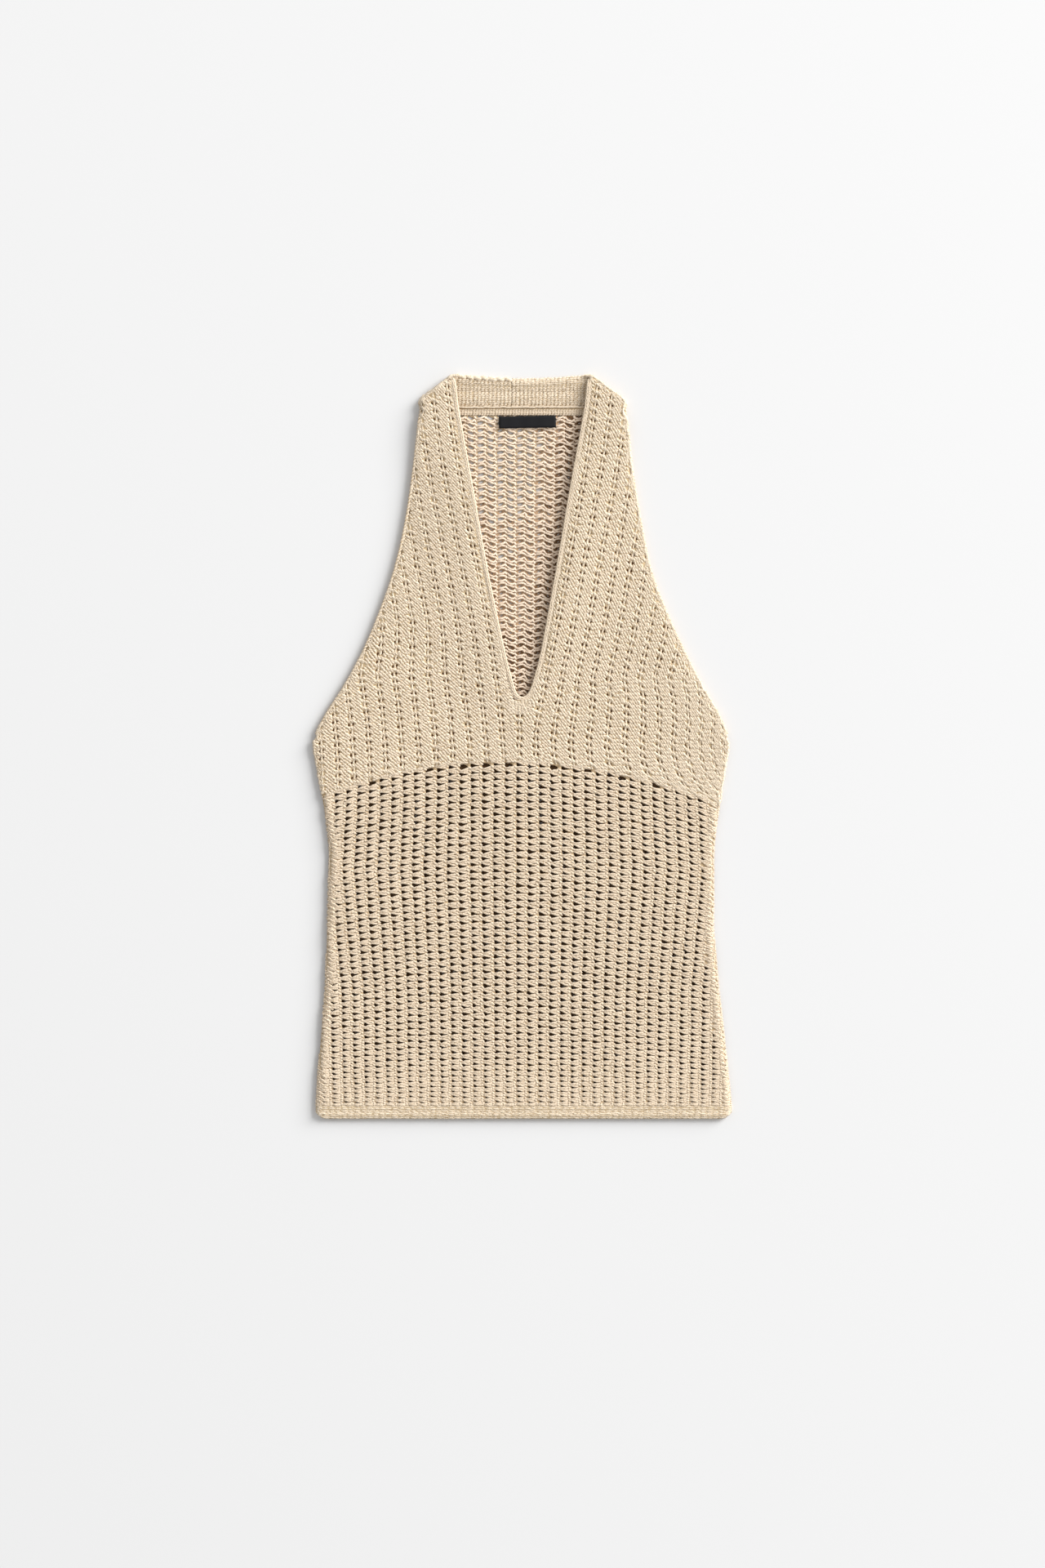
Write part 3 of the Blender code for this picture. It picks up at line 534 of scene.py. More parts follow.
def workStitches(name, ground, stitches, settings, material):
    # runs the tree on a ground and keeps the result as a plain mesh
    made = bpy.data.objects.new(name, ground.data)
    bpy.context.scene.collection.objects.link(made)
    modifier = made.modifiers.new("stitches", "NODES")
    modifier.node_group = stitchWork
    values = {
        "Stitch A": stitches[0], "Stitch B": stitches[-1], "First Cell": (*settings["firstCell"], 0.0),
        "Columns": settings["columns"], "Rows": settings["rows"],
        "Cells Low": (*ground["low"], 0.0), "Cells Span": (*ground["span"], 1.0),
        "Keep From": settings.get("keepFrom", 0.0), "Yarn Width": settings["yarnMm"] * mm,
        "Sides": settings["sides"], "Shift": settings.get("shift", (0.0, 0.0, 0.0)),
        "Unevenness": settings["unevenness"], "Seed": settings["seed"], "Material": material,
    }
    for item in stitchWork.interface.items_tree:
        if item.in_out == "INPUT" and item.name in values:
            modifier[item.identifier] = values[item.name]
    made.update_tag()
    evaluated = made.evaluated_get(bpy.context.evaluated_depsgraph_get())
    mesh = bpy.data.meshes.new_from_object(evaluated)
    made.modifiers.remove(modifier)
    made.data = mesh
    mesh.name = name
    spots = np.zeros(len(mesh.vertices) * 3)
    mesh.vertices.foreach_get("co", spots)
    # strands are pressed flat where they meet the floor or the next layer
    spots[2::3] = np.clip(spots[2::3], settings.get("lowest", 0.0), settings.get("highest", 1.0))
    mesh.vertices.foreach_set("co", spots)
    for spare in ("turned", "thick", "inside", "up", "cells"):
        if spare in mesh.attributes:
            mesh.attributes.remove(mesh.attributes[spare])
    return made


def keep(piece, slotName, *replaced):
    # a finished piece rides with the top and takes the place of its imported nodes
    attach(piece, "root")
    if replaced:
        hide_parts(*replaced)
    area = sum(p.area for p in piece.data.polygons) / 2
    print(piece.name, "done:", triangles(piece), "triangles, half its surface", round(area, 4))


# the open mesh: one hole between two posts of each column, round at one end with a thin tail

tadpole = [(0.07, 0.50), (0.10, 0.76), (0.27, 0.81), (0.42, 0.68), (0.60, 0.57),
           (0.80, 0.51), (0.60, 0.44), (0.42, 0.33), (0.27, 0.20), (0.10, 0.24)]
openHole = [(0.04, 0.50), (0.05, 0.86), (0.24, 0.97), (0.45, 0.95), (0.66, 0.80),
            (0.82, 0.55), (0.60, 0.42), (0.42, 0.31), (0.27, 0.20), (0.10, 0.24)]
netRim = [(0.0, 0.5), (0.0, 1.0), (0.3, 1.0), (0.65, 1.0), (1.0, 1.0),
          (1.0, 0.5), (1.0, 0.0), (0.65, 0.0), (0.3, 0.0), (0.0, 0.0)]


def netShape(rim, hole, centre, low, mark=0):
    # a cell of the mesh, hung lower between its ridges, with a hole or closed; mark is its material
    count = len(rim)
    hung = [(u, v - low if 0.0 < u < 1.0 else v) for u, v in rim]
    whole = list(reversed(range(count)))
    if not hole:
        return {"rim": hung, "inner": [], "faces": [(whole, 0)], "under": [whole]}
    ring = [[i, count + i, count + (i + 1) % count, (i + 1) % count] for i in range(count)]
    inner = [(u, v - low * min(1.0, 4 * u), 0.5) for u, v in hole]
    return {"rim": hung, "inner": inner, "centre": (centre, 0.5 - low),
            "faces": [(f, mark) for f in ring], "under": ring}


def netCells(columns, rows, surface, settings, margin):
    # which cells have a hole, how large it is and which way its tail leans
    across, along = np.meshgrid(np.arange(*columns), np.arange(*rows), indexing="ij")
    across, along = across.ravel(), along.ravel()
    shift = settings["holeAt"]
    insides = [surface(across - shift + u, along.astype(float))[1] for u in (0.5, 0.1, 0.9)]
    growing = settings.get("growing", ((0, 1), (1.0, 1.0)))
    cells = []
    for c, r, middle, near, far in zip(across, along, *insides):
        if max(middle, near, far) < 0:
            continue
        shape = "hole" if min(near, far) > margin and r < rows[1] - 1 else "plain"
        size = rng.uniform(*settings["holeSizes"]) * np.interp(r, *growing)
        if shape == "hole" and r == rows[1] - 2 and c in settings.get("skipped", ()):
            shape, size = "open", 1.0
        tilt = settings["leans"][int(c) % 2] * rng.uniform(0.6, 1.4) + rng.uniform(-0.06, 0.06)
        cells.append((c - shift, r - 0.5, shape + ("Low" if c % 2 else ""), size, tilt))
    return cells


def doubleCrochet(lean, low, spread):
    # a post of two strands and the loops of the ridge that the next is worked into; lean is its rise
    # towards the far end, low how far it hangs, and spread how wide it is from there to the near end
    def at(u, v, w):
        hung = low * float(ease(-0.05, 0.3, u) * ease(-0.05, 0.3, 1.0 - u))
        return (u, v + lean * (u - 0.4) - hung, w)

    ridge = [((0.85, 1.2, 0.85), [(0.80, v + 0.15, -0.8), (0.94, v, 0.2), (1.08, v - 0.15, -0.8)])
             for v in (-0.26, 0.24)]
    places = list(zip((0.98, 0.72, 0.47, 0.22, -0.05), spread, (-0.9, 0.15, 0.35, 0.35, -0.8)))
    strands = [((0.8, 1.05, 1.1, 1.0, 0.8), [at(u, v * s, w) for u, v, w in places]) for s in (1, -1)]
    filling = [((0.9, 1.05, 0.6), [at(0.95, 0.0, -0.7), at(0.66, 0.02, 0.42), at(0.34, 0.0, 0.0)])]
    return (*strands, *(filling if spread[1] > 0.25 else []), *ridge)


# the front body: columns of sideways crochet that run straight down, cut off by the sides

frontBody = {
    "middleX": -2.6 * mm,  # a column of holes runs down this line
    "pitchAt": ((hemY, 9.8), (-0.2227, 9.9), (-0.1672, 10.2), (-0.1117, 10.5), (-0.0562, 10.3), (0.06, 10.2)),
    "rows": 51,
    "crowded": (8.75, 25.35, 11.0),  # a row's height above, and how rows near the hem crowd together
    "firstRowY": hemY + 11.1 * mm,
    "underArch": 3.7 * mm,
    "sideRound": 3.0 * mm,
    "netTop": 1.15 * mm,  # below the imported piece's ridges
    "holeAt": 0.38,  # of a cell's width, from its left ridge
    "hangs": 0.20,  # every other column hangs this share of a row lower between its ridges
    "holeSizes": (0.85, 1.2),
    "growing": ((0, 3, 9), (0.42, 0.62, 1.0)),  # rows above the hem, and a hole's share of its size there
    "leans": (-0.20, 0.06),  # fall of the tails in columns worked one way and the other
    "skipped": (-13, -8, -5, -3, -1, 3, 6, 9, 12),  # columns whose last post is left out, for a larger hole
    "spread": (0.34, 0.30, 0.235, 0.09, 0.16),  # between a post's strands, from its far to its near end
}
frontStitches = {
    "yarnMm": 2.05, "sides": 5, "keepFrom": -6.0 * mm, "unevenness": 0.05, "seed": 3, "lowest": 2.9 * mm,
    "shift": (-frontBody["holeAt"], 0.0, 0.0), "columns": 20, "rows": frontBody["rows"] + 1}
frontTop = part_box("front_body")[1].z
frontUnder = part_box("front_body")[0].z
bodyRows = np.arange(-3, frontBody["rows"] + 4)
even, crowd, reach = frontBody["crowded"]
bodyShares = np.array([even * r - crowd * math.erf(r / reach) for r in bodyRows])
bodyShares /= even * frontBody["rows"] - crowd


def sideFall(inside):
    # how far the front body has fallen where it rounds over its side
    return roundFall(np.maximum(inside, 0.0), frontBody["sideRound"]) * 0.75


def frontBodySurface(column, row):
    pitchY, pitch = zip(*frontBody["pitchAt"])
    share = np.interp(row, bodyRows, bodyShares)
    x = frontBody["middleX"] + column * pitch[-1] * mm
    for _ in range(6):  # from that first guess, because a place's column and row depend on each other
        top = archY(x) - frontBody["underArch"]
        y = frontBody["firstRowY"] + (top - frontBody["firstRowY"]) * share
        x = frontBody["middleX"] + column * np.interp(y, pitchY, pitch) * mm
    left, right = outlineX(-1, y), outlineX(1, y)
    inside = np.minimum(x - left, right - x)
    x = np.clip(x, left + 0.2 * mm, right - 0.2 * mm)
    y = np.clip(y, hemTopY - 1.0 * mm, archY(x) + 1.0 * mm)
    return np.stack([x, y, frontTop - frontBody["netTop"] - sideFall(inside)], 1), inside


frontCells = netCells((-21, 22), (0, frontBody["rows"] + 2), frontBodySurface, frontBody, 2.5 * mm)
netShapes = {}
for word, low in (("", 0.0), ("Low", frontBody["hangs"])):
    for shape, hole in (("hole", tadpole), ("open", openHole), ("plain", None)):
        netShapes[shape + word] = netShape(netRim, hole, 0.40, low)
# its top is the darkened mesh ground and its hole walls and underside the deep shade yarn: painted shade
# between and inside the holes
frontNet = workFabric("front_body_net", frontBodySurface, lambda x, y: np.full(len(x), frontUnder),
                      frontCells, netShapes, [shadedMeshGround, shadedMeshGround, deepShadeYarn])
frontGround = makeGround("front ground", frontBodySurface, (-21.0, 21.0), (-2.0, frontBody["rows"] + 2.0))
for column in frontBody["skipped"]:
    leaveOut(frontGround, column, frontBody["rows"] + 0.5)
frontPosts = (makeStitch("leaning stitch", doubleCrochet(-0.20, 0.0, frontBody["spread"])),
              makeStitch("level stitch", doubleCrochet(0.06, frontBody["hangs"], frontBody["spread"])))
frontPieces = [
    workStitches(name, frontGround, frontPosts, {**frontStitches, "firstCell": (first, 0.5)}, meshYarn)
    for name, first in (("posts left", -20), ("posts right", 0))]

# along both sides the rows turn round the edge, as slanting wraps

sideWraps = {"width": 8.5 * mm, "pitch": 3.9 * mm, "yarnMm": 2.2, "unevenness": 0.06, "seed": 31, "sides": 4,
             "keepFrom": -1.0, "lowest": 2.9 * mm, "firstCell": (0.0, 0.5), "columns": 1}
wrapStitch = makeStitch("side wrap", (
    ((0.9, 1.1, 1.1, 0.9), [(0.02, 0.62, -0.6), (0.30, 0.30, 0.10), (0.64, -0.10, 0.45), (0.98, -0.60, -0.3)]),
    ((0.8, 1.0, 0.8), [(0.20, 0.02, -0.4), (0.50, -0.32, 0.1), (0.80, -0.62, -0.3)])))


def sideSurface(side):
    # column 0 is the left edge of the strip and column 1 its right one, rows go up from the hem
    def surface(column, row):
        y = hemTopY + row * sideWraps["pitch"]
        top = archY(outlineX(side, y)) - 1.5 * mm
        inside = np.where(y < top, 1.0, -2.0)
        y = np.minimum(y, top)
        fromEdge = np.clip(column if side < 0 else 1.0 - column, 0.0, 1.2) * sideWraps["width"]
        x = outlineX(side, y) - side * (fromEdge + 0.4 * mm)
        return np.stack([x, y, frontTop - frontBody["netTop"] - sideFall(fromEdge)], 1), inside
    return surface


for i, (side, word) in enumerate(((-1, "left"), (1, "right"))):
    wrapRows = int((archY(outlineX(side, -20 * mm)) - hemTopY) / sideWraps["pitch"])
    ground = makeGround("side ground " + word, sideSurface(side), (-0.5, 1.5), (-1.0, wrapRows + 1.0), 0.25)
    wraps = workStitches("side wraps " + word, ground, (wrapStitch,), {**sideWraps, "rows": wrapRows}, meshYarn)
    bpy.data.objects.remove(ground)
    frontPieces[i] = joinAll("front_body_stitches_" + word, [frontPieces[i], wraps])
keep(frontNet, "mesh_yarn", "front_body")
for piece in frontPieces:
    keep(piece, "mesh_yarn")
for spare in (frontGround, wrapStitch, *frontPosts):
    bpy.data.objects.remove(spare)

# the back: the same open mesh, looser and seen through the neck opening

backBody = {
    "middleX": -2.6 * mm,
    "pitchAt": ((hemY, 9.8), (-0.2227, 9.9), (-0.1672, 10.0), (-0.1117, 9.8), (-0.0562, 9.4), (0.03, 8.1),
                (0.09, 8.2), (0.19, 8.7), (0.277, 8.95), (0.31, 9.0)),
    "rowPitch": 6.72 * mm,
    "netTop": 1.45 * mm,
    "holeAt": 0.42,
    "holeSizes": (0.8, 1.05),
    "leans": (0.28, -0.28),
    "hangs": 0.35,
    "shade": (15.0 * mm, 34.0 * mm),  # how far the right strap's deep and light shade reach
    "shadeTop": (0.20, 0.10),  # up to where the whole neck opening is in light and in deep shade
    "spread": (0.30, 0.17, 0.12, 0.15, 0.25),
}
backStitching = {
    "yarnMm": 1.95, "sides": 5, "keepFrom": -13.0 * mm, "unevenness": 0.05, "seed": 8, "highest": 3.0 * mm,
    "firstCell": (-9, -41.5), "columns": 19, "rows": 42, "shift": (-backBody["holeAt"], 0.0, 0.0)}
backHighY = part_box("back_body")[1].y
backRows = math.ceil((backHighY - hemTopY) / backBody["rowPitch"])
backRim = [(0.0, 0.0), (0.0, 1.0), (0.5, 1.0), (1.0, 1.0), (1.0, 0.0), (0.5, 0.0)]
backHole = [(0.14, 0.40), (0.16, 0.66), (0.46, 0.73), (0.76, 0.60), (0.72, 0.42), (0.42, 0.27)]
backShapes = {}
for word, low in (("", 0.0), ("Low", backBody["hangs"])):
    for shape, hole, mark in (("plain", None, 0), ("hole", backHole, 0), ("shaded", backHole, 1),
                              ("darkShaded", backHole, 3)):
        backShapes[shape + word] = netShape(backRim, hole, 0.45, low, mark)


def backSurface(column, row):
    # rows are counted down from the top one
    pitchY, pitch = zip(*backBody["pitchAt"])
    y = backHighY - row * backBody["rowPitch"]
    x = backBody["middleX"] + column * np.interp(y, pitchY, pitch) * mm
    left, right = outlineX(-1, y), outlineX(1, y)
    inside = np.minimum(x - left, right - x)
    x = np.clip(x, left + 0.4 * mm, right - 0.4 * mm)
    y = np.clip(y, hemTopY, backHighY)
    return np.stack([x, y, np.full(len(x), backBody["netTop"])], 1), inside


def backFromBelow(column, row):
    # the same rows counted upwards, so that faces keep their handedness
    return backSurface(column, -row)


backCells = []
for c, r, shape, size, tilt in netCells((-22, 23), (0, backRows + 1), backSurface, backBody, 2.0 * mm):
    word = "Low" if shape.endswith("Low") else ""
    x, y, _ = backSurface(np.array([c + 0.5]), np.array([r + 0.5]))[0][0]
    nearOpening = y > tipY - 14 * mm and neckX(-1, y) - 14 * mm < x < neckX(1, y) + 14 * mm
    fromStrap = (neckX(1, y) - x) / rng.uniform(0.75, 1.25)
    deep, light = backBody["shade"]
    lightTop, deepTop = backBody["shadeTop"]
    # these rings are painted shade: deep shade yarn near the right strap, low in the opening and under the
    # front, shaded yarn a little further out
    if "hole" in shape and (fromStrap < deep or y < deepTop or not nearOpening):
        shape, size = "darkShaded" + word, size * (0.4 if nearOpening else 0.5)
    elif "hole" in shape and (fromStrap < light or y < lightTop + rng.uniform(-30, 30) * mm):
        shape, size = "shaded" + word, size * 0.55
    backCells.append((c, -(r + 1), shape, size, tilt))
backNet = workFabric("back_body_net", backFromBelow, lambda x, y: np.zeros(len(x)),
                     backCells, backShapes, [shadedMeshGround, shadedYarn, deepShadeYarn, deepShadeYarn])

# its stitches are worked where the neck opening shows them
backGround = makeGround("back ground", backFromBelow, (-9.0, 9.0), (-42.0, 1.0))
spots = np.array([v.co for v in backGround.data.vertices])
opening = np.minimum(spots[:, 0] - neckX(-1, spots[:, 1]), neckX(1, spots[:, 1]) - spots[:, 0])
opening = np.where(spots[:, 1] > tipY - 10 * mm, opening, -1.0)
backGround.data.attributes["inside"].data.foreach_set("value", opening.astype(np.float32))
backPosts = (makeStitch("back stitch one", doubleCrochet(0.28, 0.0, backBody["spread"])),
             makeStitch("back stitch two", doubleCrochet(-0.28, backBody["hangs"], backBody["spread"])))
backStitches = workStitches("back_body_stitches", backGround, backPosts, backStitching, innerYarn)
keep(backNet, "mesh_yarn", "back_body")
keep(backStitches, "mesh_yarn")
for spare in (backGround, *backPosts):
    bpy.data.objects.remove(spare)

# the yoke: close rows that slant down to the right, between columns of paired eyelets

yoke = {
    # height in mm and x in mm of the eyelet column nearest the neck, on each side
    "firstColumn": {
        1: ((-0.7, 11.8), (21.5, 12.6), (43.7, 17.0), (65.9, 23.3), (88.1, 26.6), (110.3, 31.1), (132.5, 35.2),
            (154.7, 40.0), (176.9, 43.7), (199.1, 47.4), (221.3, 51.8), (243.5, 55.5), (265.7, 59.2),
            (287.9, 62.9), (310.1, 65.9), (345.0, 71.5)),
        -1: ((-0.7, -17.8), (21.5, -19.6), (43.7, -21.5), (65.9, -25.2), (88.1, -28.1), (110.3, -31.1),
             (132.5, -35.5), (154.7, -40.0), (176.9, -45.1), (199.1, -48.1), (221.3, -52.5), (243.5, -56.2),
             (265.7, -61.4), (287.9, -63.6), (310.1, -66.6), (345.0, -71.5))},
    # height in mm and distance in mm between the eyelet columns
    "pitch": {1: ((21.5, 16.2), (43.7, 15.5), (62.0, 14.1)),
              -1: ((21.5, 15.3), (66.0, 15.3), (88.0, 14.4), (114.0, 13.5))},
    "narrowing": {1: 0.50, -1: 0.10},  # of the outer columns, near the body
    "middleX": -2.96 * mm,
    "rowHeights": ((-3, -20.6), (0, 0.0), (14, 95.9), (26, 181.1), (50, 355.0)),
    "aboveArch": 6.7 * mm,
    "straighten": 0.6,  # how far the rows have lost the arch's curve at the top
    "besideEdging": 3.3 * mm,  # kept free along the armhole
    "pitSizes": (0.65, 1.2),
}
yokeStitching = {"yarnMm": 2.65, "sides": 4, "keepFrom": -12.5 * mm, "unevenness": 0.05, "rows": 51,
                 "lowest": 3.0 * mm}
yokeSpread = (-7.5 * mm, -3.75 * mm, 0.0, 3.75 * mm, 7.5 * mm)
foldInner = {-1: (-62.2 * mm, neckTopY), 1: (60.7 * mm, neckTopY)}
foldOuter = {-1: (-94.0 * mm, 313.8 * mm), 1: (94.7 * mm, 313.8 * mm)}
firstFits = {side: np.polyfit(*zip(*line), 6) for side, line in yoke["firstColumn"].items()}


def yokeHeights(x, y):
    return heights("front_yoke", x, y, spread=yokeSpread) - 0.3 * mm


def besideArmhole(y, width):
    # a width that is only there along the armhole
    return width * ease(4 * mm, 10 * mm, y)


def yokePlan(side, column, row):
    # where a column and row of the yoke are; column 0 runs down the middle
    pitchY, pitch = zip(*yoke["pitch"][side])
    rowAt, rowUp = zip(*yoke["rowHeights"])
    k = side * column
    fade = 1.0 - yoke["straighten"] * ease(0, 44, row)
    arch = archY(np.array([yoke["middleX"]]))[0]
    x = column * 15 * mm
    for _ in range(8):  # from that first guess, as on the front body
        y = arch + yoke["aboveArch"] + np.interp(row, rowAt, rowUp) * mm + (archY(x) - arch) * fade
        first = np.polyval(firstFits[side], np.clip(y / mm, -60.0, 345.0)) * mm
        step = np.interp(y / mm, pitchY, pitch) * mm
        nearBody = 1 - ease(30 * mm, 80 * mm, y)
        narrow = yoke["narrowing"][side] * mm * np.maximum(k - 6, 0) ** 2 * nearBody
        low = 1 - ease(tipY - 12 * mm, tipY, y)
        inner = low * yoke["middleX"] + (1 - low) * (first - side * step)
        x = np.where(k >= 1, first + side * (step * (k - 1) - narrow), inner + (first - inner) * k)
    return x, y


def beforeFold(side, x, y):
    # distance to the shoulder fold, and the plan direction back from it
    fx, fy = foldOuter[side]
    gx, gy = foldInner[side]
    length = math.hypot(gx - fx, gy - fy)
    distance = side * ((gx - fx) * (y - fy) - (gy - fy) * (x - fx)) / length
    back = np.array([gy - fy, fx - gx]) / length
    return distance, back if back[1] <= 0 else -back


def yokeSurface(side, lowest=0.3 * mm, tuck=0.0):
    # lowest is how far above the arch it begins, tuck how far its edges reach under the edgings
    def surface(column, row):
        x, y = yokePlan(side, column, row)
        outer = side * outlineX(side, y) - besideArmhole(y, yoke["besideEdging"])
        slope = (outlineX(side, y + 2 * mm) - outlineX(side, y - 2 * mm)) / (4 * mm)
        neckEdge = np.where(y > tipY, side * neckX(side, y) + neckTrimWidth * 1.05, 0.0)
        belowTip = np.hypot(x, np.minimum(y - tipY, 0.0)) - neckTrimWidth * 1.05
        fromNeck = np.where(y > tipY, side * x - neckEdge, belowTip)
        fromOuter = (outer - side * x) / np.hypot(1.0, slope)
        inside = np.minimum.reduce([fromOuter, fromNeck, beforeFold(side, x, y)[0], y - archY(x)])
        # places outside are drawn in to the edge, or a little under the edging
        tuckOut = besideArmhole(y, tuck)
        outer, neckEdge = outer + tuckOut, neckEdge - tuck
        alongNeck = np.clip(side * x, np.minimum(neckEdge, outer - 1 * mm), outer)
        x = side * np.where(y > tipY, alongNeck, np.minimum(side * x, outer))
        y = np.maximum(y, archY(x) + lowest)
        distance, back = beforeFold(side, x, y)
        past = np.maximum(-distance, 0.0)
        x, y = x + back[0] * past, np.minimum(y + back[1] * past, neckTopY - 1.4 * mm)
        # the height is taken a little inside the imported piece
        castX = x - side * 0.5 * mm * np.where(side * x > outer - 1 * mm, 1.0, -0.2)
        within = np.clip(side * castX, neckEdge + tuck + 0.3 * mm, outer - tuckOut - 0.3 * mm)
        castX = np.where(y > tipY, side * within, castX)
        z = yokeHeights(castX, np.clip(y, archY(castX) + 0.8 * mm, neckTopY - 0.5 * mm))
        if tuck > 0:
            z = z - 0.9 * mm * ease(0.0, 1.5 * mm, -inside)
        return np.stack([x, y, z], 1), inside
    return surface


def yokeUnder(x, y):
    return heights("front_yoke", x, y, fromBelow=True) + 0.05 * mm


# paired eyelets are pits either side of the column's middle strand: 8 to 11 are the left one's west, north,
# east and south, 12 to 15 its floor, and 16 to 23 the right one's
# the pits' walls take the shaded yarn and their floors the deep shade yarn: painted shade in the eyelets
pitRim = [(0.0, 0.0), (0.0, 0.5), (0.0, 1.0), (0.5, 1.0), (1.0, 1.0), (1.0, 0.5), (1.0, 0.0), (0.5, 0.0)]
pitPoints, pitFaces = [], []
for first, centre in ((8, 0.385), (16, 0.615)):
    ring = [(centre + 0.08 * math.cos(a), 0.5 + 0.28 * math.sin(a)) for a in np.radians((180, 90, 0, 270))]
    pitPoints += [(u, v, 0.1) for u, v in ring]
    pitPoints += [(centre + (u - centre) * 0.7, 0.5 + (v - 0.5) * 0.7, 1.7) for u, v in ring]
    for i in range(4):
        pitFaces.append(([first + i, first + 4 + i, first + 4 + (i + 1) % 4, first + (i + 1) % 4], 1))
    pitFaces.append(([first + 7, first + 6, first + 5, first + 4], 2))
pitFaces += [(f, 0) for f in (
    [0, 11, 8, 1], [1, 8, 9, 2], [2, 9, 3], [0, 7, 11], [9, 17, 3], [7, 19, 11],
    [9, 10, 16, 17], [10, 11, 19, 16], [3, 17, 4], [17, 18, 5, 4], [18, 19, 6, 5], [19, 7, 6])]
wholeCell = list(reversed(range(8)))
yokeShapes = {
    "eyelets": {"rim": pitRim, "inner": pitPoints, "faces": pitFaces, "under": [wholeCell]},
    "plain": {"rim": pitRim, "inner": [], "faces": [(wholeCell, 0)], "under": [wholeCell]},
}


def yokeCells(side):
    surface = yokeSurface(side)
    across, along = np.meshgrid(np.arange(0 if side > 0 else 1, 14), np.arange(-1, 50), indexing="ij")
    across, along = across.ravel() * side, along.ravel().astype(float)
    insides = [surface(across + u, along)[1] for u in (0.0, -0.45, 0.45)]
    cells = []
    for c, r, middle, near, far in zip(across, along, *insides):
        if max(middle, near, far) < -0.5 * mm:
            continue
        shape = "eyelets" if middle > 3.0 * mm and min(near, far) > -2.0 * mm and r >= 0 else "plain"
        cells.append((c - 0.5, r - 0.5, shape, rng.uniform(*yoke["pitSizes"]), rng.uniform(-0.1, 0.1)))
    return cells


def closeStitch(drop):
    # one cell round an eyelet column: a thin strand between its two eyelets and short slanting ones all about
    strands = [((0.75, 0.7, 0.75), [(0.01, 0.34, -0.6), (0.0, 0.0, -0.15), (-0.01, -0.34, -0.6)])]
    for u, places in ((-0.17, (0.59,)), (0.0, (0.51,)), (0.16, (0.42,)), (0.27, (-0.40, 0.10)),
                      (0.42, (-0.33, 0.17)), (0.58, (-0.20, 0.30)), (0.73, (-0.12, 0.38))):
        for v in places:
            slant = [(u - 0.09, v + drop, -0.65), (u, v + 0.02, -0.10), (u + 0.09, v - drop, -0.65)]
            strands.append(((1.0, 1.1, 1.0), slant))
    return strands


yokeStitches = (makeStitch("yoke stitch", closeStitch(0.19)), makeStitch("yoke stitch two", closeStitch(0.16)))
yokePieces, yokeShells = [], []
# the yoke's cloth is the darkened ground yarn, with painted shade in its eyelet pits
for side, word, columns, first, count in ((-1, "left", (-14.0, 1.0), -13, 13),
                                          (1, "right", (-1.0, 14.0), 0, 14)):
    yokeShells.append(workFabric("front_yoke_ground_" + word, yokeSurface(side), yokeUnder, yokeCells(side),
                                 yokeShapes, [shadedGroundYarn, shadedYarn, deepShadeYarn]))
    ground = makeGround("yoke ground " + word, yokeSurface(side, -1.3 * mm, 1.6 * mm), columns, (-2.0, 51.0))
    yokePieces.append(workStitches("front_yoke_stitches_" + word, ground, yokeStitches, {
        **yokeStitching, "seed": 20 + side, "firstCell": (first, -1), "columns": count}, sandYarn))
    bpy.data.objects.remove(ground)


def underTip(column, row):
    # the few stitches that close the yoke under the tip of the neck opening
    x = yoke["middleX"] + (column - 3.0) * 3.0 * mm
    y = tipY - neckTrimWidth - (3.2 - row) * 3.0 * mm + 0.25 * np.abs(x - yoke["middleX"])
    return np.stack([x, y, yokeHeights(x, y)], 1), np.ones(len(x))


tipStitch = makeStitch("tip stitch", [
    ((1.0, 1.1, 1.0), [(-0.5, v + 0.24, -0.9), (0.0, v, -0.1), (0.5, v - 0.24, -0.9)]) for v in (-0.25, 0.25)])
ground = makeGround("tip ground", underTip, (-1.0, 7.0), (-1.0, 4.0))
tipPiece = workStitches("tip stitches", ground, (tipStitch,), {
    "yarnMm": 2.3, "sides": 4, "unevenness": 0.06, "seed": 23, "firstCell": (0, 0), "columns": 7, "rows": 4,
    "lowest": 3.0 * mm}, sandYarn)
yokePieces[0].name = "left part"
yokePieces[0] = joinAll("front_yoke_stitches_left", [yokePieces[0], tipPiece])
for shell, piece, nodes in zip(yokeShells, yokePieces, (["front_yoke"], [])):
    keep(shell, "yoke_yarn", *nodes)
    keep(piece, "yoke_yarn")
for spare in (ground, tipStitch, *yokeStitches):
    bpy.data.objects.remove(spare)


# paths and tubes for the edgings

def followPath(points, step):
    # evenly spaced points along a smoothed line, with the plan direction to its one side, and its length
    points = np.asarray(points, float)
    gone = np.concatenate([[0.0], np.cumsum(np.linalg.norm(np.diff(points, axis=0), axis=1))])
    at = np.linspace(0.0, gone[-1], max(4, int(gone[-1] / step) + 1))
    soft = np.stack([np.interp(at, gone, points[:, i]) for i in (0, 1)], 1)
    for _ in range(3):
        soft[1:-1] = (soft[:-2] + 2 * soft[1:-1] + soft[2:]) / 4
    ahead = np.gradient(soft, axis=0)
    ahead /= np.linalg.norm(ahead, axis=1)[:, None]
    return soft, np.stack([ahead[:, 1], -ahead[:, 0]], 1), gone[-1]


def tubeSurface(line, outward, lows, highs, width, pitch, length):
    # column 0 to 1 goes over the tube from its inner to its outer side, rows run along it
    rows = np.linspace(0.0, length / pitch, len(line))

    def surface(column, row):
        turn = math.pi * (1.0 - column)
        x, y, nx, ny, low, high = (np.interp(row, rows, v) for v in (*line.T, *outward.T, lows, highs))
        side, lift = np.cos(turn), np.sin(turn)
        side = np.sign(side) * np.abs(side) ** 0.8 * width / 2
        lift = np.sign(lift) * np.abs(lift) ** 0.8
        z = (low + high) / 2 + (high - low) / 2 * lift
        return np.stack([x + nx * side, y + ny * side, z], 1), np.minimum(row, rows[-1] - row) * pitch
    return surface, rows[-1]


